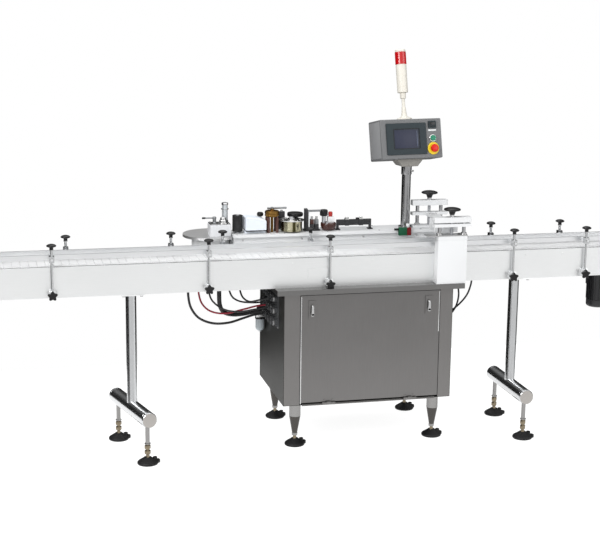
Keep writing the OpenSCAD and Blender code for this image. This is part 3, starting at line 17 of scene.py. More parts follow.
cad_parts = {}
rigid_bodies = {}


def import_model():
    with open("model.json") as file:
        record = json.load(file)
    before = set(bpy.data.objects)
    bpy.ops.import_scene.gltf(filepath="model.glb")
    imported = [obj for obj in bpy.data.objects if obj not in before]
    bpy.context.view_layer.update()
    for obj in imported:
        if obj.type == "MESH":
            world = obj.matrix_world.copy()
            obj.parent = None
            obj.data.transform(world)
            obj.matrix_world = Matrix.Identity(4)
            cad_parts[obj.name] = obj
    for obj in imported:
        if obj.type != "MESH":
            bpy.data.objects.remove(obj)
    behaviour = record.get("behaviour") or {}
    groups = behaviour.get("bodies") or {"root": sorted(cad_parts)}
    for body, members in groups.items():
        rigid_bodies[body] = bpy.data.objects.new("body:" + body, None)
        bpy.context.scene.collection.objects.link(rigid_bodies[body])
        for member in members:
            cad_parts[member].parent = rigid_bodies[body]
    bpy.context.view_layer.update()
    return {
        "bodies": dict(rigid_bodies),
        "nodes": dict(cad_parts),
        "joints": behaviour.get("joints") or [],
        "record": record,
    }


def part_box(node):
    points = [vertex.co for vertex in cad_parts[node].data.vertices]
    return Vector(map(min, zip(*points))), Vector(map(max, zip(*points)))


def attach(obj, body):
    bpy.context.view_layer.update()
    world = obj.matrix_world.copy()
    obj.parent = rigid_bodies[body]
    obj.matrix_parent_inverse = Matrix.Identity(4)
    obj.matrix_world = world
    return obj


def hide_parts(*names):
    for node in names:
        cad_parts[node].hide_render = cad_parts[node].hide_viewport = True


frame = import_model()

Point = tuple[float, float, float]
Colour = tuple[float, float, float]
Profile = Sequence[tuple[float, float]]
Term = Union["Flow", float]
log = logging.getLogger("labeler")

SHARP = math.radians(32)
FULL_TURN = 2 * math.pi
ORIGIN = (0, 0, 0)
X_AXIS, Y_AXIS, Z_AXIS = Vector((1, 0, 0)), Vector((0, 1, 0)), Vector((0, 0, 1))
YZ_PLANE = Matrix(((0, 0, 1, 0), (1, 0, 0, 0), (0, 1, 0, 0), (0, 0, 0, 1)))
XZ_PLANE = Matrix(((1, 0, 0, 0), (0, 0, -1, 0), (0, 1, 0, 0), (0, 0, 0, 1)))


class Grain(Enum):
    """Which way a brushed surface was brushed."""

    ALONG_X = (0.04, 1.0, 1.0)
    UPRIGHT = (1.0, 1.0, 0.035)
    TURNED = (1.0, 1.0, 1.0)


# Shader maths


class Flow:
    """A shader value whose arithmetic adds Math nodes."""

    def __init__(self, shader: "Shader", socket: bpy.types.NodeSocket) -> None:
        """Wraps the output socket that carries the value, in a material's node maker."""
        self.shader = shader
        self.socket = socket

    def math(self, operation: str, *others: Term, first: bool = True) -> "Flow":
        """Adds one Math node.

        Args:
            operation: the node's operation.
            others: the other values.
            first: whether this value comes before the others.

        Returns:
            The node's value.
        """
        values = [self, *others] if first else [*others, self]
        made = self.shader.node("ShaderNodeMath", {"operation": operation}, dict(enumerate(values)))
        return Flow(self.shader, made.outputs[0])

    def __add__(self, other: Term) -> "Flow":
        """Sum."""
        return self.math("ADD", other)

    __radd__ = __add__

    def __sub__(self, other: Term) -> "Flow":
        """Difference."""
        return self.math("SUBTRACT", other)

    def __rsub__(self, other: Term) -> "Flow":
        """Difference the other way round."""
        return self.math("SUBTRACT", other, first=False)

    def __mul__(self, other: Term) -> "Flow":
        """Product."""
        return self.math("MULTIPLY", other)

    __rmul__ = __mul__

    def __pow__(self, other: Term) -> "Flow":
        """Power."""
        return self.math("POWER", other)

    def above(self, limit: float, softness: float) -> "Flow":
        """A soft step from 0 to 1, with its middle at the limit and the softness to each side."""
        ranged = self.shader.node("ShaderNodeMapRange", {"clamp": True}, {"Value": self, "From Min": limit - softness,
            "From Max": limit + softness})
        return Flow(self.shader, ranged.outputs[0])


class Shader:
    """Makes the nodes of one material."""

    def __init__(self, name: str) -> None:
        """Starts a material with one Principled shader.

        Args:
            name: the material's name.
        """
        self.material = bpy.data.materials.new(name)
        self.material.use_nodes = True
        self.tree = self.material.node_tree
        self.tree.nodes.clear()
        self.surface = self.node("ShaderNodeBsdfPrincipled")
        out = self.node("ShaderNodeOutputMaterial")
        self.tree.links.new(self.surface.outputs[0], out.inputs["Surface"])

    def node(self, kind: str, settings: dict[str, object] | None = None, values: dict[Union[str, int],
            object] | None = None) -> bpy.types.Node:
        """Adds a node.

        Args:
            kind: the node's type.
            settings: its own settings; "stops" are a ramp's places and colours.
            values: what its sockets take, as numbers, colours or flows.

        Returns:
            The node.
        """
        made = self.tree.nodes.new(kind)
        for key, value in (settings or {}).items():
            if key == "stops":
                ramp = made.color_ramp
                while len(ramp.elements) < len(value):
                    ramp.elements.new(1.0)
                for element, (place, colour) in zip(ramp.elements, value):
                    element.position = place
                    element.color = (*colour, 1.0)
            else:
                setattr(made, key, value)
        for key, value in (values or {}).items():
            if isinstance(value, Flow):
                self.tree.links.new(value.socket, made.inputs[key])
            else:
                made.inputs[key].default_value = value
        return made

    def place(self, stretch: Point = (1.0, 1.0, 1.0)) -> Flow:
        """Object coordinates, stretched.

        Args:
            stretch: the scale along each axis.

        Returns:
            The coordinates.
        """
        coords = self.node("ShaderNodeTexCoord")
        mapped = self.node("ShaderNodeMapping", None, {"Scale": stretch})
        self.tree.links.new(coords.outputs["Object"], mapped.inputs["Vector"])
        return Flow(self, mapped.outputs[0])

    def noise(self, scale: float, detail: float = 3.0, stretch: Point = (1.0, 1.0, 1.0)) -> Flow:
        """Soft noise from 0 to 1.

        Args:
            scale: cells a metre.
            detail: how many finer layers.
            stretch: the scale along each axis.

        Returns:
            The noise.
        """
        made = self.node("ShaderNodeTexNoise", {"noise_dimensions": "3D"}, {"Vector": self.place(stretch),
            "Scale": scale, "Detail": detail, "Roughness": 0.6})
        return Flow(self, made.outputs[0])

    def blend(self, factor: Flow, low: Colour, high: Colour) -> Flow:
        """A colour between two others: low where the factor is 0, high where it is 1."""
        ramp = self.node("ShaderNodeValToRGB", {"stops": [(0.0, low), (1.0, high)]}, {0: factor})
        return Flow(self, ramp.outputs[0])

    def bump(self, height: Flow, depth: float) -> Flow:
        """A bump's normal, from a height of 0 to 1 and its depth in metres."""
        made = self.node("ShaderNodeBump", None, {"Height": height, "Distance": depth, "Strength": 1.0})
        return Flow(self, made.outputs[0])

    def dress(self, values: dict[str, object]) -> bpy.types.Material:
        """Sets the Principled shader's sockets.

        Args:
            values: socket names with their numbers, colours or flows.

        Returns:
            The material.
        """
        for key, value in values.items():
            if isinstance(value, Flow):
                self.tree.links.new(value.socket, self.surface.inputs[key])
            elif isinstance(value, tuple) and len(value) == 3:
                self.surface.inputs[key].default_value = (*value, 1.0)
            else:
                self.surface.inputs[key].default_value = value
        return self.material


def shade(colour: Colour, factor: float) -> Colour:
    """A darker or lighter copy of a colour."""
    return tuple(min(1.0, c * factor) for c in colour)


# Finishes


@dataclass(frozen=True)
class Finish:
    """A surface's look; each kind makes its own material once."""

    colour: Colour
    roughness: float = 0.5
    name: str = field(default="", init=False)
    _made: dict = field(default_factory=dict, compare=False, repr=False)

    def __set_name__(self, owner: type, name: str) -> None:
        """Takes the name that the finish has in its list."""
        object.__setattr__(self, "name", name)

    def material(self) -> bpy.types.Material:
        """The finish's material, made on first use."""
        if "it" not in self._made:
            self._made["it"] = self.make(Shader(self.name))
        return self._made["it"]

    def make(self, s: Shader) -> bpy.types.Material:
        """Builds the material's nodes with its node maker."""
        raise NotImplementedError


@dataclass(frozen=True)
class Brushed(Finish):
    """Brushed or turned metal with fine scratches and a soft cloud of tarnish."""

    grain: Grain = Grain.ALONG_X
    contrast: float = 0.14
    depth: float = 0.00004

    def make(self, s: Shader) -> bpy.types.Material:
        """Builds the nodes."""
        lines = s.noise(420.0, 2.0, self.grain.value)
        cloud = s.noise(2.6, 3.0)
        tone = lines * 0.55 + cloud * 0.45
        return s.dress({
            "Base Color": s.blend(tone, shade(self.colour, 1 - self.contrast), shade(self.colour, 1 + self.contrast)),
            "Metallic": 1.0,
            "Roughness": lines * 0.12 + cloud * 0.08 + (self.roughness - 0.1),
            "Normal": s.bump(lines, self.depth),
        })


@dataclass(frozen=True)
class Polished(Finish):
    """Chromed or polished metal with faint fingerprints and dust."""

    def make(self, s: Shader) -> bpy.types.Material:
        """Builds the nodes."""
        smear = s.noise(9.0, 4.0)
        specks = s.noise(240.0, 1.0).above(0.68, 0.04)
        return s.dress({
            "Base Color": s.blend(smear, shade(self.colour, 0.9), self.colour),
            "Metallic": 1.0,
            "Roughness": smear * 0.1 + specks * 0.12 + self.roughness,
            "Normal": s.bump(smear, 0.00002),
        })


@dataclass(frozen=True)
class Paint(Finish):
    """Sprayed paint with fine orange peel and slight soiling."""

    peel: float = 0.00005
    soil: float = 0.1
    coat: float = 0.15

    def make(self, s: Shader) -> bpy.types.Material:
        """Builds the nodes."""
        peel = s.noise(320.0, 2.0)
        dirt = s.noise(3.2, 5.0)
        return s.dress({
            "Base Color": s.blend(dirt, shade(self.colour, 1 - self.soil), self.colour),
            "Roughness": dirt * 0.12 + peel * 0.05 + (self.roughness - 0.08),
            "Coat Weight": self.coat,
            "Coat Roughness": 0.25,
            "Normal": s.bump(peel, self.peel),
        })


@dataclass(frozen=True)
class Moulded(Finish):
    """Moulded plastic or rubber with a fine grain and dust in its hollows."""

    grain: float = 0.00006
    cells: float = 900.0
    dust: float = 0.18

    def make(self, s: Shader) -> bpy.types.Material:
        """Builds the nodes."""
        grain = s.noise(self.cells, 2.0)
        dust = s.noise(14.0, 4.0)
        pale = tuple(c + (0.55 - c) * self.dust for c in self.colour)
        return s.dress({
            "Base Color": s.blend(dust ** 3.0, self.colour, pale),
            "Roughness": dust * 0.15 + grain * 0.08 + (self.roughness - 0.1),
            "Specular IOR Level": 0.32,
            "Normal": s.bump(grain, self.grain),
        })


@dataclass(frozen=True)
class Screen(Finish):
    """A dark glass screen with a faint gradient of its own."""

    glow: Colour = (0.05, 0.06, 0.12)

    def make(self, s: Shader) -> bpy.types.Material:
        """Builds the nodes."""
        cloud = s.noise(7.0, 2.0)
        return s.dress({
            "Base Color": s.blend(cloud, self.colour, shade(self.colour, 1.5)),
            "Roughness": cloud * 0.06 + self.roughness,
            "Emission Color": s.blend(cloud, shade(self.glow, 0.6), self.glow),
            "Emission Strength": 0.5,
            "Coat Weight": 0.12,
            "Coat Roughness": 0.3,
        })


@dataclass(frozen=True)
class Lens(Finish):
    """A coloured plastic lens, ribbed inside so that it glows a little."""

    def make(self, s: Shader) -> bpy.types.Material:
        """Builds the nodes."""
        ribs = s.noise(160.0, 1.0, (1.0, 1.0, 0.05))
        return s.dress({
            "Base Color": s.blend(ribs, shade(self.colour, 0.75), self.colour),
            "Roughness": ribs * 0.08 + self.roughness,
            "Emission Color": s.blend(ribs, shade(self.colour, 0.2), shade(self.colour, 0.35)),
            "Emission Strength": 0.35,
            "Coat Weight": 0.6,
            "Coat Roughness": 0.08,
        })


@dataclass(frozen=True)
class PaintedReflectionStreaks(Finish):
    """Polished metal with painted reflections: upright bright and dark streaks painted into its colour."""

    dark: Colour = (0.1, 0.1, 0.1)

    def make(self, s: Shader) -> bpy.types.Material:
        """Builds the nodes."""
        # Painted reflection: upright streaks that blend the dark colour with the bright one, in place of reflected
        # light and shade.
        painted_reflection_streak = s.noise(46.0, 1.0, (1.0, 1.0, 0.02)).above(0.5, 0.1)
        haze = s.noise(160.0, 2.0)
        return s.dress({
            "Base Color": s.blend(painted_reflection_streak, self.dark, self.colour),
            "Metallic": 1.0,
            "Roughness": haze * 0.08 + self.roughness,
            "Normal": s.bump(haze, 0.00002),
        })


@dataclass(frozen=True)
class Cast(Finish):
    """Blasted casting with pale and dark specks."""

    def make(self, s: Shader) -> bpy.types.Material:
        """Builds the nodes."""
        specks = s.noise(210.0, 2.0)
        cloud = s.noise(30.0, 3.0)
        return s.dress({
            "Base Color": s.blend(specks * 0.7 + cloud * 0.3, shade(self.colour, 0.35), shade(self.colour, 1.7)),
            "Metallic": 0.3,
            "Roughness": cloud * 0.2 + (self.roughness - 0.1),
            "Normal": s.bump(specks, 0.0003),
        })


@dataclass(frozen=True)
class StudioFloor(Finish):
    """A pale floor that is lit from below, so that shadows on it stay faint."""

    def make(self, s: Shader) -> bpy.types.Material:
        """Builds the nodes."""
        return s.dress({
            "Base Color": self.colour,
            "Roughness": self.roughness,
            "Specular IOR Level": 0.0,
            "Emission Color": (1.0, 1.0, 1.0),
            "Emission Strength": 0.92,
        })


class Finishes:
    """All the finishes of the machine."""

    cabinet_steel = Brushed((0.2, 0.194, 0.19), 0.4, grain=Grain.UPRIGHT)
    door_steel = Brushed((0.185, 0.18, 0.177), 0.36, grain=Grain.UPRIGHT)
    # Painted shade: the side panels get a much darker copy of the cabinet steel, standing in for the shade on the
    # cabinet's side.
    side_panel = Brushed((0.036, 0.036, 0.033), 0.5, grain=Grain.UPRIGHT)
    table_steel = Brushed((0.2, 0.197, 0.194), 0.33, grain=Grain.ALONG_X)
    conveyor_steel = Brushed((0.88, 0.89, 0.89), 0.36, grain=Grain.ALONG_X, contrast=0.05)
    chain_steel = Brushed((0.9, 0.91, 0.92), 0.6, grain=Grain.ALONG_X)
    rail_steel = Brushed((0.84, 0.85, 0.86), 0.32, grain=Grain.ALONG_X)
    machined = Brushed((0.56, 0.57, 0.59), 0.3, grain=Grain.TURNED)
    post_steel = Brushed((0.36, 0.36, 0.365), 0.2, grain=Grain.UPRIGHT, contrast=0.3)
    # Painted shade: a much darker copy of the leg steel, for the legs' lower taper.
    leg_dark = Polished((0.085, 0.08, 0.075), 0.2)
    leg_steel = Polished((0.3, 0.295, 0.29), 0.14)
    cap_steel = Brushed((0.42, 0.4, 0.38), 0.45, grain=Grain.TURNED, contrast=0.25)
    nut_zinc = Brushed((0.24, 0.2, 0.14), 0.3, grain=Grain.TURNED)
    chrome_leg = Polished((0.66, 0.67, 0.68), 0.14)
    rim_silver = Polished((0.7, 0.7, 0.69), 0.16)
    lever_grey = Brushed((0.3, 0.31, 0.32), 0.35, grain=Grain.TURNED)
    dark_chrome = Brushed((0.5, 0.5, 0.51), 0.14, grain=Grain.UPRIGHT, contrast=0.2)
    guard_pale = Brushed((0.5, 0.5, 0.5), 0.3)
    press_foam = Moulded((0.6, 0.61, 0.62), 0.7, dust=0.05)
    chrome = Polished((0.72, 0.72, 0.73), 0.1)
    bright_zinc = Polished((0.62, 0.62, 0.62), 0.22)
    disc_alloy = Brushed((0.8, 0.8, 0.8), 0.42, grain=Grain.TURNED)
    # The label drum's metal, with painted reflection streaks: upright bright and dark bands in its colour.
    drum_metal = PaintedReflectionStreaks((0.66, 0.62, 0.44), 0.16, dark=(0.07, 0.062, 0.022))
    brass = Brushed((0.27, 0.15, 0.04), 0.32, grain=Grain.TURNED, contrast=0.3)
    cast_dark = Paint((0.05, 0.052, 0.055), 0.55, peel=0.0004)
    black_paint = Paint((0.012, 0.012, 0.014), 0.4, peel=0.0001)
    guard_grey = Paint((0.06, 0.064, 0.07), 0.45)
    white_paint = Paint((0.8, 0.81, 0.82), 0.4, soil=0.06)
    press_white = Paint((0.78, 0.79, 0.8), 0.35, soil=0.08)
    brown_post = Paint((0.07, 0.022, 0.014), 0.35)
    pump_red = Paint((0.06, 0.016, 0.01), 0.25, soil=0.5)
    feed_white = Paint((0.72, 0.73, 0.75), 0.35, soil=0.1)
    cap_red = Paint((0.42, 0.02, 0.015), 0.3, soil=0.15)
    bracket_grey = Cast((0.27, 0.26, 0.24), 0.6)
    # Painted light: a lighter copy of the box paint, for the lit left side of the control box.
    box_side = Paint((0.28, 0.283, 0.29), 0.42, peel=0.00012, coat=0.05)
    box_grey = Paint((0.15, 0.153, 0.158), 0.42, peel=0.00012, coat=0.05)
    magazine_white = Moulded((0.76, 0.81, 0.88), 0.45, dust=0.03)
    bezel_grey = Moulded((0.026, 0.037, 0.043), 0.6, dust=0.02)
    knob_black = Moulded((0.004, 0.004, 0.0045), 0.35, dust=0.03)
    foot_rubber = Moulded((0.004, 0.004, 0.0045), 0.55, dust=0.04)
    roller_rubber = Moulded((0.005, 0.005, 0.0055), 0.5, cells=1500.0)
    wear_plastic = Moulded((0.02, 0.022, 0.022), 0.5)
    lead_sheath = Moulded((0.01, 0.01, 0.011), 0.45, cells=1600.0)
    lead_red = Moulded((0.3, 0.012, 0.03), 0.45, cells=1600.0, dust=0.06)
    cream_plastic = Moulded((0.74, 0.71, 0.64), 0.35, dust=0.08)
    button_green = Moulded((0.01, 0.22, 0.12), 0.3, dust=0.05)
    block_green = Moulded((0.003, 0.085, 0.035), 0.4, dust=0.03)
    block_red = Moulded((0.15, 0.002, 0.005), 0.4, dust=0.03)
    stop_yellow = Moulded((0.85, 0.62, 0.02), 0.35, dust=0.05)
    stop_red = Moulded((0.65, 0.015, 0.01), 0.25, dust=0.03)
    label_white = Moulded((0.8, 0.82, 0.82), 0.5, dust=0.02)
    lens_red = Lens((0.52, 0.003, 0.006), 0.2)
    meter_window = Moulded((0.015, 0.016, 0.018), 0.2, dust=0.05)
    key_blue = Moulded((0.1, 0.12, 0.2), 0.3, dust=0.05)
    sight_glass = Moulded((0.52, 0.55, 0.57), 0.15, dust=0.2)
    filter_bowl = Moulded((0.5, 0.55, 0.58), 0.2, dust=0.1)
    strip_glass = Screen((0.006, 0.01, 0.018), 0.38, glow=(0.008, 0.012, 0.03))
    screen_glass = Screen((0.003, 0.004, 0.012), 0.5, glow=(0.03, 0.038, 0.085))
    floor_paint = StudioFloor((0.3, 0.3, 0.3), 0.9)


# Mesh making


def stand_up(name: str, data: bpy.types.ID) -> bpy.types.Object:
    """Makes an object of some data and puts it in the scene."""
    made = bpy.data.objects.new(name, data)
    bpy.context.scene.collection.objects.link(made)
    return made


class Shape:
    """A mesh put together piece by piece."""

    def __init__(self, name: str) -> None:
        """Starts an empty mesh.

        Args:
            name: the piece's name.
        """
        self.name = name
        self.bm = bmesh.new()
        self.finishes: list[Finish] = []

    def box(self, low: Point, high: Point, finish: Finish, bevel: float = 0.0008, at: Matrix | None = None,
            segments: int = 2) -> "Shape":
        """Adds a box with soft edges.

        Args:
            low: its lowest corner.
            high: its highest corner.
            finish: its finish.
            bevel: the edges' radius.
            at: a transform for it.
            segments: the bevel's steps.

        Returns:
            This shape.
        """
        part = bmesh.new()
        bmesh.ops.create_cube(part, size=1.0)
        for v in part.verts:
            v.co = Vector([(a + b) / 2 + c * (b - a) for a, b, c in zip(low, high, v.co)])
        if bevel > 0:
            reach = min(bevel, 0.45 * min(b - a for a, b in zip(low, high)))
            bmesh.ops.bevel(part, geom=part.edges[:], offset=reach, segments=segments, profile=0.5, affect="EDGES")
        return self.join(part, finish, at)

    def join(self, part: bmesh.types.BMesh, finish: Finish, at: Matrix | None = None) -> "Shape":
        """Adds a finished part.

        Args:
            part: the part, which is freed.
            finish: its finish.
            at: a transform for it.

        Returns:
            This shape.
        """
        mesh = bpy.data.meshes.new("part")
        part.to_mesh(mesh)
        part.free()
        before = set(self.bm.verts)
        self.bm.from_mesh(mesh)
        bpy.data.meshes.remove(mesh)
        made = [v for v in self.bm.verts if v not in before]
        if at is not None:
            bmesh.ops.transform(self.bm, matrix=at, verts=made)
        if finish not in self.finishes:
            self.finishes.append(finish)
        for face in {f for v in made for f in v.link_faces}:
            face.material_index = self.finishes.index(finish)
            face.smooth = True
        return self

    def lathe(self, profile: Profile, base: Point, finish: Finish, axis: Vector = Z_AXIS, steps: int = 40,
            round_by: float = 0.0, frame: Matrix | None = None) -> "Shape":
        """Adds a turned piece.

        Args:
            profile: radius and height pairs, from the bottom's middle to the top's middle.
            base: where height 0 lies.
            finish: its finish.
            axis: the way up.
            steps: the steps round it.
            round_by: how far each outer corner of the profile is cut back.
            frame: a frame of its own, up whose Z it stands, in place of base and axis.

        Returns:
            This shape.
        """
        points = soften(profile, round_by) if round_by else list(profile)
        part = bmesh.new()
        rings = []
        for radius, height in points:
            if radius < 1e-7:
                rings.append([part.verts.new((0, 0, height))])
            else:
                rings.append([part.verts.new((radius * math.cos(FULL_TURN * k / steps),
                    radius * math.sin(FULL_TURN * k / steps), height)) for k in range(steps)])
        for low, high in zip(rings, rings[1:]):
            for k in range(steps):
                n = (k + 1) % steps
                ring = [low[k % len(low)], low[n % len(low)], high[n % len(high)], high[k % len(high)]]
                corners = list(dict.fromkeys(ring))
                if len(corners) > 2:
                    part.faces.new(corners)
        bmesh.ops.recalc_face_normals(part, faces=part.faces[:])
        turn = Z_AXIS.rotation_difference(axis).to_matrix().to_4x4()
        return self.join(part, finish, frame or Matrix.Translation(base) @ turn)

    def rod(self, start: Point, end: Point, radius: float, finish: Finish, edge: float = 0.0008,
            steps: int = 32) -> "Shape":
        """Adds a round bar with chamfered ends.

        Args:
            start: the middle of one end.
            end: the middle of the other end.
            radius: its radius.
            finish: its finish.
            edge: the chamfer.
            steps: the steps round it.

        Returns:
            This shape.
        """
        way = Vector(end) - Vector(start)
        length = way.length
        cut = min(edge, radius / 3, length / 3)
        profile = [(0, 0), (radius - cut, 0), (radius, cut), (radius, length - cut), (radius - cut, length),
            (0, length)]
        return self.lathe(profile, start, finish, way.normalized(), steps)

    def plate(self, outline: Profile, thickness: float, finish: Finish, at: Matrix | None = None,
            bevel: float = 0.0006) -> "Shape":
        """Adds a flat plate cut to an outline.

        Args:
            outline: the outline in the plate's plane.
            thickness: how thick it is, along Z.
            finish: its finish.
            at: a transform for it.
            bevel: the edges' radius.

        Returns:
            This shape.
        """
        part = bmesh.new()
        base = part.faces.new([part.verts.new((x, y, 0)) for x, y in outline])
        made = bmesh.ops.extrude_face_region(part, geom=[base])
        top = [v for v in made["geom"] if isinstance(v, bmesh.types.BMVert)]
        bmesh.ops.translate(part, vec=(0, 0, thickness), verts=top)
        bmesh.ops.recalc_face_normals(part, faces=part.faces[:])
        if bevel:
            rims = [e for e in part.edges if e.calc_face_angle(0) > SHARP]
            bmesh.ops.bevel(part, geom=rims, offset=bevel, segments=1, affect="EDGES")
        return self.join(part, finish, at)

    def tube(self, path: Sequence[Vector], radius: float, finish: Finish, sides: int = 12) -> "Shape":
        """Adds a round tube along a path.

        Args:
            path: the middle line.
            radius: the tube's radius.
            finish: its finish.
            sides: the steps round it.

        Returns:
            This shape.
        """
        part = bmesh.new()
        rings: list[list[bmesh.types.BMVert]] = []
        across = None
        for i, p in enumerate(path):
            way = (path[min(i + 1, len(path) - 1)] - path[max(i - 1, 0)]).normalized()
            if across is None:
                across = way.orthogonal().normalized()
            across = (across - way * across.dot(way)).normalized()
            other = way.cross(across)
            rings.append([part.verts.new(p + across * (radius * math.cos(FULL_TURN * k / sides))
                + other * (radius * math.sin(FULL_TURN * k / sides))) for k in range(sides)])
        for low, high in zip(rings, rings[1:]):
            for k in range(sides):
                n = (k + 1) % sides
                part.faces.new([low[k], low[n], high[n], high[k]])
        part.faces.new(rings[0][::-1])
        part.faces.new(rings[-1])
        bmesh.ops.recalc_face_normals(part, faces=part.faces[:])
        return self.join(part, finish)

    def ring_plate(self, outer: Profile, inner: Profile, thickness: float, finish: Finish, at: Matrix,
            bevel: float) -> "Shape":
        """Adds a flat frame with a window.

        Args:
            outer: the frame's outline.
            inner: the window's outline, with as many points.
            thickness: how thick it is.
            finish: its finish.
            at: a transform for it.
            bevel: the edges' radius.

        Returns:
            This shape.
        """
        part = bmesh.new()
        loops = [[part.verts.new((x, y, z)) for x, y in outline] for outline, z in ((outer, 0), (outer, thickness),
            (inner, thickness), (inner, 0))]
        n = len(outer)
        for k, ring in enumerate(loops):
            after = loops[(k + 1) % 4]
            for i in range(n):
                j = (i + 1) % n
                part.faces.new([ring[i], ring[j], after[j], after[i]])
        bmesh.ops.recalc_face_normals(part, faces=part.faces[:])
        rims = [e for e in part.edges if e.calc_face_angle(0) > math.radians(60)]
        bmesh.ops.bevel(part, geom=rims, offset=bevel, segments=2, affect="EDGES")
        return self.join(part, finish, at)

    def make(self) -> bpy.types.Object:
        """Turns the shape into an object.

        Returns:
            The object, at the origin.
        """
        mesh = bpy.data.meshes.new(self.name)
        self.bm.to_mesh(mesh)
        self.bm.free()
        mesh.set_sharp_from_angle(angle=SHARP)
        made = stand_up(self.name, mesh)
        for finish in self.finishes:
            mesh.materials.append(finish.material())
        return made


def rounded(width: float, height: float, radius: float, steps: int = 5) -> list[tuple[float, float]]:
    """A rectangle's outline with round corners, about its middle.

    Args:
        width: its width.
        height: its height.
        radius: the corners' radius.
        steps: the steps of a corner.

    Returns:
        The outline.
    """
    out = []
    for k, (sx, sy) in enumerate(((1, 1), (-1, 1), (-1, -1), (1, -1))):
        for i in range(steps + 1):
            a = math.radians(90 * (k + i / steps))
            out.append((sx * (width / 2 - radius) + radius * math.cos(a), sy * (height / 2 - radius)
                + radius * math.sin(a)))
    return out


def moved(x: float, y: float, z: float) -> Matrix:
    """A frame that is moved and not turned."""
    return Matrix.Translation((x, y, z))


def circle(middle: Point, radius: float, count: int, first: float = 0.0) -> list[Point]:
    """Points round a level circle.

    Args:
        middle: its middle.
        radius: its radius.
        count: how many points.
        first: the first one's direction, in degrees.

    Returns:
        The points.
    """
    x, y, z = middle
    turns = [math.radians(first + 360 / count * k) for k in range(count)]
    return [(x + radius * math.cos(a), y + radius * math.sin(a), z) for a in turns]


def soften(profile: Profile, cut: float) -> list[tuple[float, float]]:
    """Rounds the corners of a turned piece's profile.

    Args:
        profile: radius and height pairs.
        cut: how far each corner is cut back.

    Returns:
        The rounded profile.
    """
    out: list[tuple[float, float]] = []
    for i, (r, h) in enumerate(profile):
        if i in (0, len(profile) - 1) or r < 1e-7:
            out.append((r, h))
            continue
        here = Vector((r, h))
        back, on = Vector(profile[i - 1]) - here, Vector(profile[i + 1]) - here
        if back.length < 1e-7 or on.length < 1e-7:
            out.append((r, h))
            continue
        reach = min(cut, back.length * 0.45, on.length * 0.45)
        a, b = here + back.normalized() * reach, here + on.normalized() * reach
        for t in (0.0, 0.35, 0.65, 1.0):
            p = a.lerp(here, t).lerp(here.lerp(b, t), t)
            out.append((p.x, p.y))
    return out


def smooth_path(points: Sequence[Point], step: float) -> list[Vector]:
    """Draws a smooth line through points.

    Args:
        points: the points that it passes.
        step: about how far apart the new points are.

    Returns:
        The line.
    """
    ps = [Vector(p) for p in points]
    out: list[Vector] = []
    for i in range(len(ps) - 1):
        p1, p2 = ps[i], ps[i + 1]
        p0 = ps[i - 1] if i else p1 * 2 - p2
        p3 = ps[i + 2] if i + 2 < len(ps) else p2 * 2 - p1
        n = max(2, round((p2 - p1).length / step))
        for k in range(n):
            t = k / n
            out.append(0.5 * (p1 * 2 + (p2 - p0) * t + (p0 * 2 - p1 * 5 + p2 * 4 - p3) * t * t
                + (p1 * 3 - p0 - p2 * 3 + p3) * t ** 3))
    return out + [ps[-1]]


def path_length(path: Sequence[Vector]) -> float:
    """A line's length."""
    return sum((b - a).length for a, b in zip(path, path[1:]))


def paint_node(node: str, finish: Finish) -> None:
    """Gives every slot of a CAD node one finish."""
    for slot in frame["nodes"][node].material_slots:
        slot.material = finish.material()


def ride(made: bpy.types.Object, slot: str, *replaced: str, body: str = "machine") -> bpy.types.Object:
    """Hangs a piece on its body and hides the CAD nodes it stands for.

    Args:
        made: the piece.
        slot: the record's slot of its finish; not used.
        replaced: the CAD nodes it stands for.
        body: the body that carries it.

    Returns:
        The piece.
    """
    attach(made, body)
    if replaced:
        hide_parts(*replaced)
    log.info("piece %s on %s, %d faces", made.name, body, len(made.data.polygons))
    return made


# Repeated pieces


class Head(Enum):
    """Heads of a fastening: sides, how far the top is inset, and its rise as a share of the height."""

    SOCKET = (16, 0.55, -0.55)
    HEX = (6, 0.86, 0.12)
    DOME = (14, 0.62, 0.35)


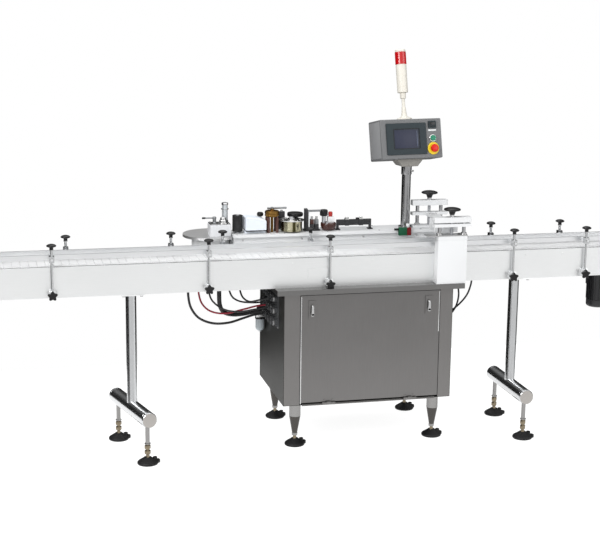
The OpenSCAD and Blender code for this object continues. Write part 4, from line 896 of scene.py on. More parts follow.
class GeoTree:
    """Makes one Geometry Nodes tree."""

    def __init__(self, name: str, inputs: dict[str, str]) -> None:
        """Starts a tree.

        Args:
            name: the tree's name.
            inputs: its named inputs and their socket types.
        """
        self.tree = bpy.data.node_groups.new(name, "GeometryNodeTree")
        face = self.tree.interface
        face.new_socket("Geometry", in_out="OUTPUT", socket_type="NodeSocketGeometry")
        face.new_socket("Geometry", in_out="INPUT", socket_type="NodeSocketGeometry")
        self.keys = {label: face.new_socket(label, in_out="INPUT", socket_type="NodeSocket" + kind).identifier
            for label, kind in inputs.items()}
        self.given = self.tree.nodes.new("NodeGroupInput").outputs

    def node(self, kind: str, values: dict[Union[str, int], object] | None = None,
            **settings: object) -> bpy.types.bpy_prop_collection:
        """Adds a node.

        Args:
            kind: the node's type.
            values: what its sockets take, as numbers or other nodes' outputs.
            settings: its own settings.

        Returns:
            The node's outputs.
        """
        made = self.tree.nodes.new(kind)
        for key, value in settings.items():
            setattr(made, key, value)
        for key, value in (values or {}).items():
            if isinstance(value, bpy.types.NodeSocket):
                self.tree.links.new(value, made.inputs[key])
            else:
                made.inputs[key].default_value = value
        return made.outputs

    def times(self, a: object, b: object) -> bpy.types.NodeSocket:
        """Multiplies two values."""
        return self.node("ShaderNodeMath", {0: a, 1: b}, operation="MULTIPLY")[0]

    def finish(self, geometry: bpy.types.NodeSocket) -> None:
        """Ends the tree in Realize Instances and Set Material.

        Args:
            geometry: the instances.
        """
        real = self.node("GeometryNodeRealizeInstances", {0: geometry})[0]
        painted = self.node("GeometryNodeSetMaterial", {"Geometry": real, "Material": self.given["Finish"]})[0]
        out = self.tree.nodes.new("NodeGroupOutput")
        self.tree.links.new(painted, out.inputs[0])

    def grow(self, name: str, points: Sequence[Point], values: dict[str, object]) -> bpy.types.Object:
        """Runs the tree on points and keeps the result as a plain mesh.

        Args:
            name: the piece's name.
            points: where the tree starts.
            values: the named inputs' values.

        Returns:
            The piece.
        """
        seed = bpy.data.meshes.new(name + "_seed")
        seed.from_pydata([tuple(p) for p in points], [], [])
        host = stand_up(name + "_seed", seed)
        modifier = host.modifiers.new("grow", "NODES")
        modifier.node_group = self.tree
        for label, value in values.items():
            modifier[self.keys[label]] = value
        graph = bpy.context.evaluated_depsgraph_get()
        mesh = bpy.data.meshes.new_from_object(host.evaluated_get(graph))
        mesh.name = name
        bpy.data.objects.remove(host)
        for face in mesh.polygons:
            face.use_smooth = True
        mesh.set_sharp_from_angle(angle=SHARP)
        made = stand_up(name, mesh)
        return made


class Fastenings:
    """Screws, bolts, rivets and connector bodies, set on points by one tree."""

    def __init__(self) -> None:
        """Builds the tree: a cylinder whose top face is inset and then raised or sunk."""
        g = GeoTree("fastenings", {"Radius": "Float", "Height": "Float", "Sides": "Int", "Inset": "Float",
            "Rise": "Float", "Way": "Vector", "Finish": "Material"})
        height = g.given["Height"]
        body = g.node("GeometryNodeMeshCylinder", {"Vertices": g.given["Sides"], "Radius": g.given["Radius"],
            "Depth": height})[0]
        lift = g.node("ShaderNodeCombineXYZ", {"Z": g.times(height, 0.5)})[0]
        stood = g.node("GeometryNodeTransform", {"Geometry": body, "Translation": lift})[0]
        up = g.node("ShaderNodeSeparateXYZ", {0: g.node("GeometryNodeInputNormal")[0]})["Z"]
        top = g.node("ShaderNodeMath", {0: up, 1: 0.5}, operation="GREATER_THAN")[0]
        ring = g.node("GeometryNodeExtrudeMesh", {"Mesh": stood, "Selection": top, "Offset Scale": 0.0}, mode="FACES")
        inset = g.node("GeometryNodeScaleElements", {"Geometry": ring["Mesh"], "Selection": ring["Top"],
            "Scale": g.given["Inset"]})[0]
        head = g.node("GeometryNodeExtrudeMesh", {"Mesh": inset, "Selection": ring["Top"],
            "Offset Scale": g.times(height, g.given["Rise"])}, mode="FACES")["Mesh"]
        turn = g.node("FunctionNodeAlignRotationToVector", {"Vector": g.given["Way"]}, axis="Z")[0]
        g.finish(g.node("GeometryNodeInstanceOnPoints", {"Points": g.given["Geometry"], "Instance": head,
            "Rotation": turn})[0])
        self.tree = g

    def fit(self, name: str, points: Sequence[Point], way: Vector, head: Head, size: tuple[float, float],
            finish: Finish = Finishes.bright_zinc, body: str = "machine",
            slot: str = "bright_steel") -> bpy.types.Object:
        """Sets one fastening on each point.

        Args:
            name: the piece's name.
            points: where the heads stand.
            way: where they point.
            head: their form.
            size: their diameter and height.
            finish: their finish.
            body: the body that carries them.
            slot: the record's slot.

        Returns:
            The piece.
        """
        sides, inset, rise = head.value
        made = self.tree.grow(name, points, {"Radius": size[0] / 2, "Height": size[1], "Sides": sides, "Inset": inset,
            "Rise": rise, "Way": tuple(way), "Finish": finish.material()})
        return ride(made, slot, body=body)


class Copies:
    """One drawn shape, set on points by a tree."""

    def __init__(self) -> None:
        """Builds the tree."""
        g = GeoTree("copies", {"Shape": "Object", "Finish": "Material"})
        shape = g.node("GeometryNodeObjectInfo", {"Object": g.given["Shape"]})["Geometry"]
        g.finish(g.node("GeometryNodeInstanceOnPoints", {"Points": g.given["Geometry"], "Instance": shape})[0])
        self.tree = g

    def set_out(self, shape: Shape, name: str, points: Sequence[Point], finish: Finish, body: str, slot: str,
            *nodes: str) -> bpy.types.Object:
        """Sets a copy of a shape on each point.

        Args:
            shape: the shape, drawn about the origin.
            name: the piece's name.
            points: where the copies go.
            finish: their finish.
            body: the body that carries them.
            slot: the record's slot.
            nodes: the CAD nodes that they stand for.

        Returns:
            The piece.
        """
        pattern = shape.make()
        made = self.tree.grow(name, points, {"Shape": pattern, "Finish": finish.material()})
        bpy.data.objects.remove(pattern)
        return ride(made, slot, *nodes, body=body)


class Ribs:
    """Flat ribs that stand in a ring, such as cooling fins and grips."""

    def __init__(self) -> None:
        """Builds the tree."""
        g = GeoTree("ribs", {"Count": "Int", "Ring": "Float", "Size": "Vector", "Way": "Vector",
            "Finish": "Material"})
        ring = g.node("GeometryNodeMeshCircle", {"Vertices": g.given["Count"], "Radius": g.given["Ring"]})[0]
        rib = g.node("GeometryNodeMeshCube", {"Size": g.given["Size"]})[0]
        out = g.node("GeometryNodeInputPosition")[0]
        turn = g.node("FunctionNodeAlignRotationToVector", {"Vector": out}, axis="X")[0]
        wheel = g.node("GeometryNodeInstanceOnPoints", {"Points": ring, "Instance": rib, "Rotation": turn})[0]
        lay = g.node("FunctionNodeAlignRotationToVector", {"Vector": g.given["Way"]}, axis="Z")[0]
        g.finish(g.node("GeometryNodeInstanceOnPoints", {"Points": g.given["Geometry"], "Instance": wheel,
            "Rotation": lay})[0])
        self.tree = g

    def stand(self, name: str, points: Sequence[Point], count: int, ring: float, size: Point, finish: Finish,
            body: str = "machine", slot: str = "black_paint", way: Vector = Z_AXIS) -> bpy.types.Object:
        """Stands a ring of ribs on each point.

        Args:
            name: the piece's name.
            points: the rings' middles.
            count: how many ribs a ring has.
            ring: the ring's radius.
            size: a rib's depth, width and height.
            finish: their finish.
            body: the body that carries them.
            slot: the record's slot.
            way: the ring's axis.

        Returns:
            The piece.
        """
        made = self.tree.grow(name, points, {"Count": count, "Ring": ring, "Size": size, "Way": tuple(way),
            "Finish": finish.material()})
        return ride(made, slot, body=body)


@dataclass
class Workshop:
    """The trees that every sub-assembly draws its repeated pieces with."""

    fastenings: Fastenings = field(default_factory=Fastenings)
    copies: Copies = field(default_factory=Copies)
    ribs: Ribs = field(default_factory=Ribs)


def knob_profile(across: float, height: float, neck: float) -> list[tuple[float, float]]:
    """The section of a mushroom knob: a slim neck that flares into a thin domed disc.

    Args:
        across: its diameter.
        height: its height.
        neck: its neck's diameter.

    Returns:
        Radius and height pairs.
    """
    r = across / 2
    return [(0, 0), (neck / 2, 0), (neck / 2, 0.22 * height), (0.42 * r, 0.4 * height), (0.8 * r, 0.5 * height),
        (0.96 * r, 0.56 * height), (r, 0.66 * height), (0.96 * r, 0.76 * height), (0.7 * r, 0.9 * height),
        (0.35 * r, 0.98 * height), (0, height)]


# Studio


@dataclass
class Studio:
    """The camera at the photograph's angle, a pale floor and soft light."""

    place: Point = (-1.613, -6.57, 2.297)
    yaw: float = math.radians(13.65)
    pitch: float = math.radians(11.97)
    roll: float = math.radians(0.68)
    lens: float = 83.16
    ambient: float = 0.8

    def camera(self) -> None:
        """Makes the camera."""
        data = bpy.data.cameras.new("camera")
        data.lens, data.sensor_width = self.lens, 36.0
        data.clip_start, data.clip_end = 0.1, 200.0
        ahead = Vector((math.sin(self.yaw) * math.cos(self.pitch), math.cos(self.yaw) * math.cos(self.pitch),
            -math.sin(self.pitch)))
        right = Vector((math.cos(self.yaw), -math.sin(self.yaw), 0))
        up = right.cross(ahead)
        c, s = math.cos(self.roll), math.sin(self.roll)
        right, up = right * c + up * s, up * c - right * s
        made = stand_up("camera", data)
        turn = Matrix((right, up, -ahead)).transposed().to_4x4()
        made.matrix_world = Matrix.Translation(self.place) @ turn
        bpy.context.scene.camera = made

    def light(self, name: str, place: Point, size: float, power: float) -> None:
        """Makes one soft light that points at the machine.

        Args:
            name: its name.
            place: where it stands.
            size: its side.
            power: its power in watts.
        """
        data = bpy.data.lights.new(name, "AREA")
        data.shape, data.size, data.energy = "SQUARE", size, power
        made = stand_up(name, data)
        aim = Vector((0.1, 0.0, 0.9)) - Vector(place)
        made.matrix_world = Matrix.Translation(place) @ aim.to_track_quat("-Z", "Y").to_matrix().to_4x4()

    def sky(self, tree: bpy.types.NodeTree) -> None:
        """Makes a white backdrop with a softer light of its own, darker towards the floor.

        Args:
            tree: the world's tree.
        """
        nodes, links = tree.nodes, tree.links
        nodes.clear()
        coords = nodes.new("ShaderNodeTexCoord")
        lamp, white = nodes.new("ShaderNodeBackground"), nodes.new("ShaderNodeBackground")
        path, mix = nodes.new("ShaderNodeLightPath"), nodes.new("ShaderNodeMixShader")
        out = nodes.new("ShaderNodeOutputWorld")
        brighter = nodes.new("ShaderNodeMix")
        brighter.data_type, brighter.blend_type = "RGBA", "LIGHTEN"
        brighter.inputs[0].default_value = 1.0
        for socket, way, low, high in ((6, (0.276, -0.961, 0.0), (0.24, 0.03), (0.5, 1.0)),
                (7, (0.0, 0.0, 1.0), (0.34, 0.0), (0.8, 0.95))):
            along, ramp = nodes.new("ShaderNodeVectorMath"), nodes.new("ShaderNodeValToRGB")
            along.operation = "DOT_PRODUCT"
            along.inputs[1].default_value = way
            for stop, (at, grey) in zip(ramp.color_ramp.elements, (low, high)):
                stop.position, stop.color = at, (grey, grey, grey, 1)
            links.new(coords.outputs["Generated"], along.inputs[0])
            links.new(along.outputs["Value"], ramp.inputs[0])
            links.new(ramp.outputs[0], brighter.inputs[socket])
        links.new(brighter.outputs[2], lamp.inputs["Color"])
        lamp.inputs["Strength"].default_value = self.ambient
        links.new(path.outputs["Is Camera Ray"], mix.inputs[0])
        links.new(lamp.outputs[0], mix.inputs[1])
        links.new(white.outputs[0], mix.inputs[2])
        white.inputs["Color"].default_value = (1.0, 1.0, 1.0, 1.0)
        links.new(mix.outputs[0], out.inputs["Surface"])

    def build(self) -> None:
        """Makes the floor, the world and the lights."""
        world = bpy.data.worlds.new("studio")
        world.use_nodes = True
        self.sky(world.node_tree)
        bpy.context.scene.world = world
        bpy.context.scene.view_settings.view_transform = "Standard"
        floor = Shape("floor")
        floor.box((-2.4, -1.8, -0.05), (2.5, 1.4, -0.0005), Finishes.floor_paint, 0.0)
        floor.make()
        self.light("key", (-4.2, -3.6, 4.2), 3.0, 270.0)
        self.light("fill", (4.4, -3.6, 2.6), 3.0, 55.0)
        self.light("top", (0.0, 1.0, 5.0), 4.0, 90.0)


# Leads


HOSE, LEAD, BUNDLE = 0.012, 0.009, 0.022


@dataclass(frozen=True)
class Route:
    """A lead's name, thickness and sheath, and its way from its exit to its connector."""

    name: str
    across: float
    sheath: Finish
    points: tuple[Point, ...]


@dataclass
class Leads:
    """The leads at both sides of the cabinet; each follows its route from the source."""

    routes: tuple[Route, ...] = (
        Route("lead_hose", HOSE, Finishes.lead_sheath, (
            (-0.566, 0.09, 0.765), (-0.566, 0.09, 0.715), (-0.552, 0.092, 0.655), (-0.51, 0.096, 0.6),
            (-0.44, 0.098, 0.57), (-0.36, 0.096, 0.57), (-0.29, 0.092, 0.59), (-0.235, 0.09, 0.606),
            (-0.187, 0.09, 0.61))),
        Route("lead_red", LEAD, Finishes.lead_red, (
            (-0.514, 0.09, 0.765), (-0.514, 0.09, 0.73), (-0.5, 0.08, 0.68), (-0.46, 0.066, 0.642),
            (-0.39, 0.05, 0.63), (-0.3, 0.036, 0.65), (-0.235, 0.03, 0.666), (-0.187, 0.03, 0.67))),
        Route("lead_front", LEAD, Finishes.lead_sheath, (
            (-0.462, 0.09, 0.765), (-0.462, 0.09, 0.735), (-0.45, 0.06, 0.695), (-0.4, 0.016, 0.66),
            (-0.33, -0.014, 0.652), (-0.25, -0.028, 0.664), (-0.187, -0.03, 0.67))),
        Route("lead_bundle", BUNDLE, Finishes.lead_sheath, (
            (-0.41, 0.09, 0.765), (-0.41, 0.092, 0.715), (-0.404, 0.104, 0.66), (-0.38, 0.126, 0.618),
            (-0.33, 0.142, 0.6), (-0.27, 0.149, 0.6), (-0.225, 0.15, 0.608), (-0.187, 0.15, 0.61))),
        Route("lead_short", LEAD, Finishes.lead_sheath, (
            (-0.358, 0.09, 0.765), (-0.358, 0.09, 0.735), (-0.34, 0.09, 0.7), (-0.3, 0.09, 0.678),
            (-0.24, 0.09, 0.67), (-0.187, 0.09, 0.67))),
        Route("lead_cross", LEAD, Finishes.lead_sheath, (
            (-0.306, 0.09, 0.765), (-0.306, 0.084, 0.74), (-0.3, 0.04, 0.712), (-0.28, -0.03, 0.705),
            (-0.24, -0.076, 0.722), (-0.187, -0.09, 0.73))),
        Route("lead_right_a", LEAD, Finishes.lead_sheath, (
            (0.735, -0.02, 0.78), (0.74, -0.02, 0.74), (0.758, -0.022, 0.69), (0.77, -0.028, 0.64),
            (0.762, -0.036, 0.595), (0.742, -0.04, 0.573), (0.722, -0.04, 0.57))),
        Route("lead_right_b", LEAD, Finishes.lead_sheath, (
            (0.8, -0.033, 0.79), (0.806, -0.032, 0.75), (0.816, -0.026, 0.69), (0.808, -0.014, 0.63),
            (0.782, -0.004, 0.586), (0.75, 0.0, 0.571), (0.722, 0.0, 0.57))),
        Route("lead_right_c", LEAD, Finishes.lead_sheath, (
            (0.88, -0.033, 0.79), (0.88, -0.03, 0.75), (0.866, -0.016, 0.69), (0.834, 0.008, 0.635),
            (0.792, 0.03, 0.592), (0.752, 0.04, 0.572), (0.722, 0.04, 0.57))),
    )

    def straighten(self, route: Sequence[Point], reach: float = 0.012) -> list[Point]:
        """Gives a route a straight piece at each end.

        Args:
            route: its points.
            reach: how long each straight piece is.

        Returns:
            The route that leaves straight down and enters its connector straight.
        """
        first, last = route[0], route[-1]
        way = math.copysign(1.0, last[0] - route[-2][0])
        return [first, (first[0], first[1], first[2] - reach), *route[1:-1], (last[0] - way * reach, last[1],
            last[2]), last]

    def build(self) -> None:
        for lead in self.routes:
            route = self.straighten(lead.points)
            path = smooth_path(route, 0.012)
            made = Shape(lead.name).tube(path, lead.across / 2, lead.sheath, 14).make()
            ride(made, "lead_black", "leads")
            path_length(path)


# Sub-assemblies


@dataclass
class Cabinet:
    """The cabinet's front: door latches, hinge screws, legs and panel screws."""

    front: float = -0.232
    latch_x: tuple[float, float] = (-0.01, 0.585)
    latch_z: float = 0.676
    leg_x: tuple[float, float] = (-0.078, 0.638)
    leg_y: tuple[float, float] = (-0.176, 0.275)
    taper_z: float = 0.15

    def build(self, shop: Workshop) -> None:
        """Makes the cabinet's pieces."""
        f = Finishes
        for x, side in zip(self.latch_x, ("left", "right")):
            self.latch(x, side)
        legs, top = Shape("cabinet_legs_turned"), self.taper_z
        for x in self.leg_x:
            for y in self.leg_y:
                legs.lathe([(0, top), (0.0284, top), (0.029, 0.152), (0.029, 0.206), (0.031, 0.2105),
                    (0.041, 0.212), (0.041, 0.218), (0, 0.218)], (x, y, 0), f.leg_steel, steps=48, round_by=0.0012)
                # The lower taper gets the darker leg finish: painted shade in place of the dark reflection there.
                legs.lathe([(0, 0.062), (0.013, 0.062), (0.0284, top), (0, top)], (x, y, 0), f.leg_dark, steps=48)
        ride(legs.make(), "grey_paint", "cabinet_legs")
        around: list[Point] = []
        for x in self.leg_x:
            for y in self.leg_y:
                around += circle((x, y, 0.2119), 0.034, 4, 45)
        shop.fastenings.fit("leg_screws", around, -Z_AXIS, Head.SOCKET, (0.009, 0.003))
        low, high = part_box("door")
        lip = Shape("door_bottom_lip").box((low[0] + 0.012, self.front + 0.0012, low[2] - 0.0055),
            (high[0] - 0.012, self.front + 0.004, low[2] + 0.004), f.door_steel, 0.0006)
        # Painted highlights: two thin bright strips, along the door's left edge and the upper part of its right edge,
        # stand in for light caught by the door's edges.
        for left, wide, foot in ((low[0] + 0.0006, 0.0048, low[2] + 0.006), (high[0] - 0.0046, 0.004, 0.56)):
            lip.box((left, self.front - 0.0006, foot), (left + wide, self.front + 0.0015, high[2] - 0.004),
                f.bright_zinc, 0.0003)
        ride(lip.make(), "door_paint", body="door_panel")
        hinge_screws = [(x + dx, self.front - 0.0002, 0.24) for x in (0.078, 0.497) for dx in (-0.02, 0.02)]
        shop.fastenings.fit("door_hinge_screws", hinge_screws, -Y_AXIS, Head.DOME, (0.008, 0.0018), f.door_steel,
            "door_panel")
        backs = [(x, 0.3302, z) for x in (-0.13, 0.14, 0.42, 0.69) for z in (0.235, 0.76)]
        shop.fastenings.fit("back_panel_screws", backs, Y_AXIS, Head.SOCKET, (0.01, 0.003))
        sides = [(0.7102, y, z) for y in (-0.16, 0.06, 0.28) for z in (0.245, 0.745)]
        shop.fastenings.fit("side_panel_screws", sides, X_AXIS, Head.SOCKET, (0.01, 0.003))

    def latch(self, x: float, side: str) -> None:
        """Makes one recessed handle: a lever that lies in front of its pan.

        Args:
            x: the middle of the latch.
            side: left or right.
        """
        f, z = Finishes, self.latch_z
        face = self.front - 0.003
        shape = Shape(f"latch_{side}_handle")
        shape.rod((x, face - 0.0002, z), (x, face - 0.012, z), 0.0085, f.bright_zinc, 0.0015)
        shape.plate([(-0.0078, -0.004), (0.0078, -0.004), (0.0066, 0.04), (0.004, 0.0478), (-0.004, 0.0478),
            (-0.0066, 0.04)], 0.007, f.bright_zinc, moved(x, face - 0.005, z) @ Matrix.Rotation(math.radians(90), 4,
            "X"), 0.0016)
        shape.rod((x, face + 0.001, z), (x, self.front + 0.018, z), 0.006, f.machined)
        shape.box((x - 0.008, self.front + 0.01, z - 0.008), (x + 0.008, self.front + 0.014, z + 0.026), f.machined,
            0.001)
        ride(shape.make(), "bright_steel", f"latch_{side}", body=f"latch_{side}_body")


@dataclass
class TLeg:
    """One chromed T leg: a column on a round cross tube with capped ends."""

    x: float
    turn: float
    y: float = -0.112
    tube_z: float = 0.222
    head_z: float = 0.793
    half: float = 0.224

    def draw(self, shape: Shape) -> None:
        """Adds the leg to a shape.

        Args:
            shape: the shape that takes it.
        """
        f = Finishes
        a = math.radians(self.turn)
        way = Vector((-math.sin(a), math.cos(a), 0))
        mid = Vector((self.x, self.y, self.tube_z))
        r = 0.038
        tube = [(0.0345, -self.half - 0.0062), (0.0366, -self.half - 0.0045), (r, -self.half - 0.001),
            (r, -self.half + 0.002), (r, -self.half + 0.01), (r - 0.0004, -self.half + 0.0105),
            (r - 0.0004, -self.half + 0.0115), (r, -self.half + 0.012)]
        whole = tube + [(q, -h) for q, h in reversed(tube)]
        shape.lathe(whole, tuple(mid), f.chrome_leg, way, 56)
        for end in (-1, 1):
            shape.lathe([(0, 0.0075), (0.02, 0.0072), (0.0346, 0.0062), (0.0346, 0.004), (0, 0.004)],
                tuple(mid + way * end * self.half), f.cap_steel, way * end, 56)
        shape.lathe([(0, 0), (0.0262, 0), (0.0262, 0.0375), (0.0256, 0.04),
            (0.0256, self.head_z - self.tube_z + 0.006), (0, self.head_z - self.tube_z + 0.006)], tuple(mid),
            f.chrome_leg, Z_AXIS, 56)
        shape.box((self.x - 0.055, self.y - 0.09, self.head_z + 0.005), (self.x + 0.055, self.y + 0.09, self.head_z
            + 0.012), f.conveyor_steel, 0.0015)


@dataclass
class LevelingFeet:
    """The eight leveling feet: domed pads with their lugs, spindles and lock nuts."""

    tip: float = 0.062
    tube_low: float = 0.184
    pad_r: float = 0.05
    lug_reach: float = 0.062
    lug_turn: float = 15
    spread: float = 0.198

    def pad(self, s: Shape, x: float, y: float, turn: float) -> None:
        """Adds one black pad with its lug and the boss beside the spindle.

        Args:
            s: the shape that takes it.
            x: the spindle's place.
            y: the spindle's place.
            turn: where the lug points, in degrees.
        """
        rubber, r = Finishes.foot_rubber, self.pad_r
        s.lathe([(0, 0), (0.048, 0), (r, 0.003), (r, 0.0085), (0.0465, 0.013), (0.03, 0.024), (0.0185, 0.0315),
            (0.0168, 0.034), (0, 0.034)], (x, y, 0), rubber, steps=56, round_by=0.0008)
        at = moved(x, y, 0) @ Matrix.Rotation(math.radians(turn), 4, "Z")
        hole = [(px - 0.002, py) for px, py in rounded(0.011, 0.011, 0.0055)]
        s.ring_plate(rounded(0.044, 0.034, 0.0168), hole, 0.0145, rubber, at @ moved(0.04, 0, 0), 0.0012)
        s.lathe([(0.0055, 0.01), (0.0055, 0.0285), (0.0095, 0.0285), (0.0105, 0.027), (0.011, 0.009)],
            (x + 0.036, y + 0.01, 0), rubber, steps=24)

    def build(self, shop: Workshop) -> None:
        """Makes the feet of the cabinet and of the T legs."""
        f = Finishes
        low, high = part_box("cabinet_feet")
        short = Shape("cabinet_feet_moulded")
        for x in (low[0] + self.lug_reach, high[0] - self.lug_reach):
            for y in (low[1] + self.pad_r, high[1] - self.pad_r):
                self.pad(short, x, y, self.lug_turn)
                short.lathe([(0, 0.033), (0.0105, 0.033), (0.0085, 0.036), (0.008, self.tip), (0, self.tip)],
                    (x, y, 0), f.nut_zinc, steps=28)
                short.lathe([(0.008, self.tip - 0.012), (0.015, self.tip - 0.012), (0.015, self.tip),
                    (0.008, self.tip)], (x, y, 0), f.leg_steel, steps=6)
        ride(short.make(), "foot_rubber", "cabinet_feet")
        tall = Shape("t_leg_feet_moulded")
        for leg in reversed(TLegs.legs):
            a = math.radians(leg.turn)
            for off in (-self.spread, self.spread):
                px, py = leg.x - math.sin(a) * off, leg.y + math.cos(a) * off
                self.pad(tall, px, py, leg.turn)
                tall.lathe([(0, 0.033), (0.011, 0.033), (0.0088, 0.038), (0.008, 0.046), (0.008, 0.104), (0, 0.104)],
                    (px, py, 0), f.nut_zinc, steps=28)
                for z in (0.048, 0.074):
                    tall.lathe([(0.008, z), (0.0135, z), (0.0148, z + 0.002), (0.0148, z + 0.017),
                        (0.0135, z + 0.019), (0.008, z + 0.019)], (px, py, 0), f.nut_zinc, steps=6)
                tall.lathe([(0.008, 0.0985), (0.015, 0.0985), (0.015, 0.1025), (0.0112, 0.1045), (0.0106, 0.11),
                    (0.0106, self.tube_low + 0.003), (0, self.tube_low + 0.003)], (px, py, 0), f.leg_steel, steps=36)
        ride(tall.make(), "foot_rubber", "t_leg_feet")


@dataclass
class TLegs:
    """Both T legs."""

    legs: tuple[TLeg, TLeg] = (TLeg(-0.875, 14.0), TLeg(1.08, 0.0))

    def build(self, shop: Workshop) -> None:
        """Makes the legs and their bolts."""
        shape = Shape("t_legs_chromed")
        bolts: list[Point] = []
        for leg in self.legs:
            leg.draw(shape)
            bolts += [(leg.x + sx * 0.042, leg.y + sy * 0.077, leg.head_z + 0.005) for sx in (-1, 1)
                for sy in (-1, 1)]
        ride(shape.make(), "bright_steel", "t_legs")
        shop.fastenings.fit("t_leg_bolts", bolts, -Z_AXIS, Head.HEX, (0.015, 0.005))


@dataclass
class GuideRails:
    """The black knobs and the small metal pieces of the guide rail brackets."""

    front_x: tuple[float, ...] = (-1.25, -0.515, 0.08, 1.028, 1.417)
    back_x: tuple[float, ...] = (-1.17, -0.665, -0.41, 0.033, 0.985, 1.365)
    front_y: float = -0.218
    back_y: float = -0.006
    top_z: float = 1.037
    rail_z: float = 0.992
    clamp_half: tuple[float, float] = (0.015, 0.017)
    star_h: float = 0.014
    star_drop: float = 0.006

    def build(self, shop: Workshop) -> None:
        """Makes the knobs and their fittings."""
        f = Finishes
        spots = [(x, self.front_y) for x in self.front_x] + [(x, self.back_y) for x in self.back_x]
        knob = Shape("knob").lathe(knob_profile(0.046, 0.028, 0.018), (0, 0, 0), f.knob_black, steps=40,
            round_by=0.0008)
        shop.copies.set_out(knob, "rail_knobs_turned", [(x, y, self.top_z) for x, y in spots], f.knob_black,
            "machine", "knob_black", "rail_knobs")
        washer = Shape("washer").lathe([(0.0062, 0), (0.0095, 0), (0.0095, 0.003), (0.0062, 0.003)], (0, 0, 0),
            f.bright_zinc)
        shop.copies.set_out(washer, "rail_washers", [(x, y, self.top_z - 0.0032) for x, y in spots], f.bright_zinc,
            "machine", "bright_steel")
        self.clamps(shop)
        for side, xs, y, way in (("front", self.front_x, self.front_y - 0.0128, -Y_AXIS),
                ("back", self.back_x, self.back_y + 0.0128, Y_AXIS)):
            shop.fastenings.fit(f"{side}_block_bolts", [(x, y, self.rail_z) for x in xs], way, Head.HEX,
                (0.013, 0.006))

    def clamps(self, shop: Workshop) -> None:
        """Makes the pale clamp blocks of the posts and their black star knobs."""
        f = Finishes
        low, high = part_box("rail_clamps")
        z, star_z = (low[2] + high[2]) / 2, (low[2] + high[2]) / 2 - self.star_drop
        half_y = (Conveyor.front_y - low[1] - self.star_h) / 2
        half_w, half_h = self.clamp_half
        block = Shape("clamp").box((-half_w, -half_y, -half_h), (half_w, half_y, half_h), f.rail_steel, 0.002)
        centres = [(x, Conveyor.front_y - half_y, z) for x in self.front_x]
        centres += [(x, Conveyor.back_y + half_y, z) for x in self.back_x]
        shop.copies.set_out(block, "rail_clamp_blocks", centres, f.rail_steel, "machine", "bright_steel",
            "rail_clamps")
        lobes = []
        for a in [math.radians(6 * k) for k in range(60)]:
            reach = 0.02 + 0.004 * math.sin(5 * a)
            lobes.append((reach * math.cos(a), reach * math.sin(a)))
        middle = moved(0, self.star_h / 2, 0) @ XZ_PLANE
        star = Shape("star").plate(lobes, self.star_h, f.knob_black, middle, 0.002)
        fronts = [(x, low[1] + self.star_h / 2, star_z) for x in self.front_x]
        backs = [(x, high[1] - self.star_h / 2, star_z) for x in self.back_x]
        shop.copies.set_out(star, "rail_clamp_stars", fronts + backs, f.knob_black, "machine", "knob_black")


@dataclass
class Conveyor:
    """Bolts of the conveyor's side plates, the bearings' screws, and the gear motor."""

    front_y: float = -0.202
    back_y: float = -0.022
    shaft_x: float = 1.61925
    shaft_z: float = 0.89492
    motor_y: float = 0.041
    splice_x: float = 0.028
    bolt_z: float = 0.925
    flange_bolt: float = 0.038

    def build(self, shop: Workshop) -> None:
        """Makes the conveyor's pieces."""
        f = Finishes
        xs = [-1.5 + 0.2 * k for k in range(16)]
        taken = (*GuideRails.front_x, PressStation.x, self.splice_x)
        clear = [x for x in xs if min(abs(x - q) for q in taken) > 0.07]
        shop.fastenings.fit("side_bolts_front", [(x, self.front_y, self.bolt_z) for x in clear], -Y_AXIS, Head.DOME,
            (0.012, 0.0025), f.conveyor_steel)
        rear = [x for x in xs if min(abs(x - q) for q in GuideRails.back_x) > 0.05]
        shop.fastenings.fit("side_bolts_back", [(x, self.back_y, self.bolt_z) for x in rear], Y_AXIS, Head.DOME,
            (0.014, 0.004))
        for sign, y, way in ((-1, self.front_y, -Y_AXIS), (1, self.back_y, Y_AXIS)):
            heads = [(sx * self.shaft_x + dx, y + sign * 0.0074, self.shaft_z + dz) for sx in (-1, 1)
                for dx in (-self.flange_bolt, self.flange_bolt) for dz in (-self.flange_bolt, self.flange_bolt)]
            shop.fastenings.fit("bearing_bolts_front" if sign < 0 else "bearing_bolts_back", heads, way, Head.SOCKET,
                (0.012, 0.007))
        self.motor(shop)

    def motor(self, shop: Workshop) -> None:
        """Makes the finned motor under the gear box."""
        f = Finishes
        x, y = self.shaft_x, self.motor_y
        shape = Shape("gear_motor_cast")
        shape.lathe([(0, 0.5818), (0.03, 0.5818), (0.048, 0.5835), (0.054, 0.588), (0.056, 0.596), (0.056, 0.6229),
            (0.052, 0.6239), (0.052, 0.7979), (0.0555, 0.7979), (0.059, 0.8), (0.059, 0.8129), (0.0, 0.8139)],
            (x, y, 0), f.black_paint, steps=48, round_by=0.001)
        shape.box((x - 0.03, 0.0929, 0.687), (x + 0.03, 0.1269, 0.761), f.black_paint, 0.004)
        shape.rod((x, 0.11, 0.6872), (x, 0.11, 0.672), 0.009, f.lead_sheath)
        ride(shape.make(), "black_paint", "gear_motor")
        shop.ribs.stand("gear_motor_fins", [(x, y, 0.711)], 28, 0.0545, (0.007, 0.0022, 0.172), f.black_paint)
        lid = [(x + dx, 0.1269, z) for dx in (-0.023, 0.023) for z in (0.694, 0.754)]
        shop.fastenings.fit("motor_lid_screws", lid, Y_AXIS, Head.SOCKET, (0.007, 0.003))


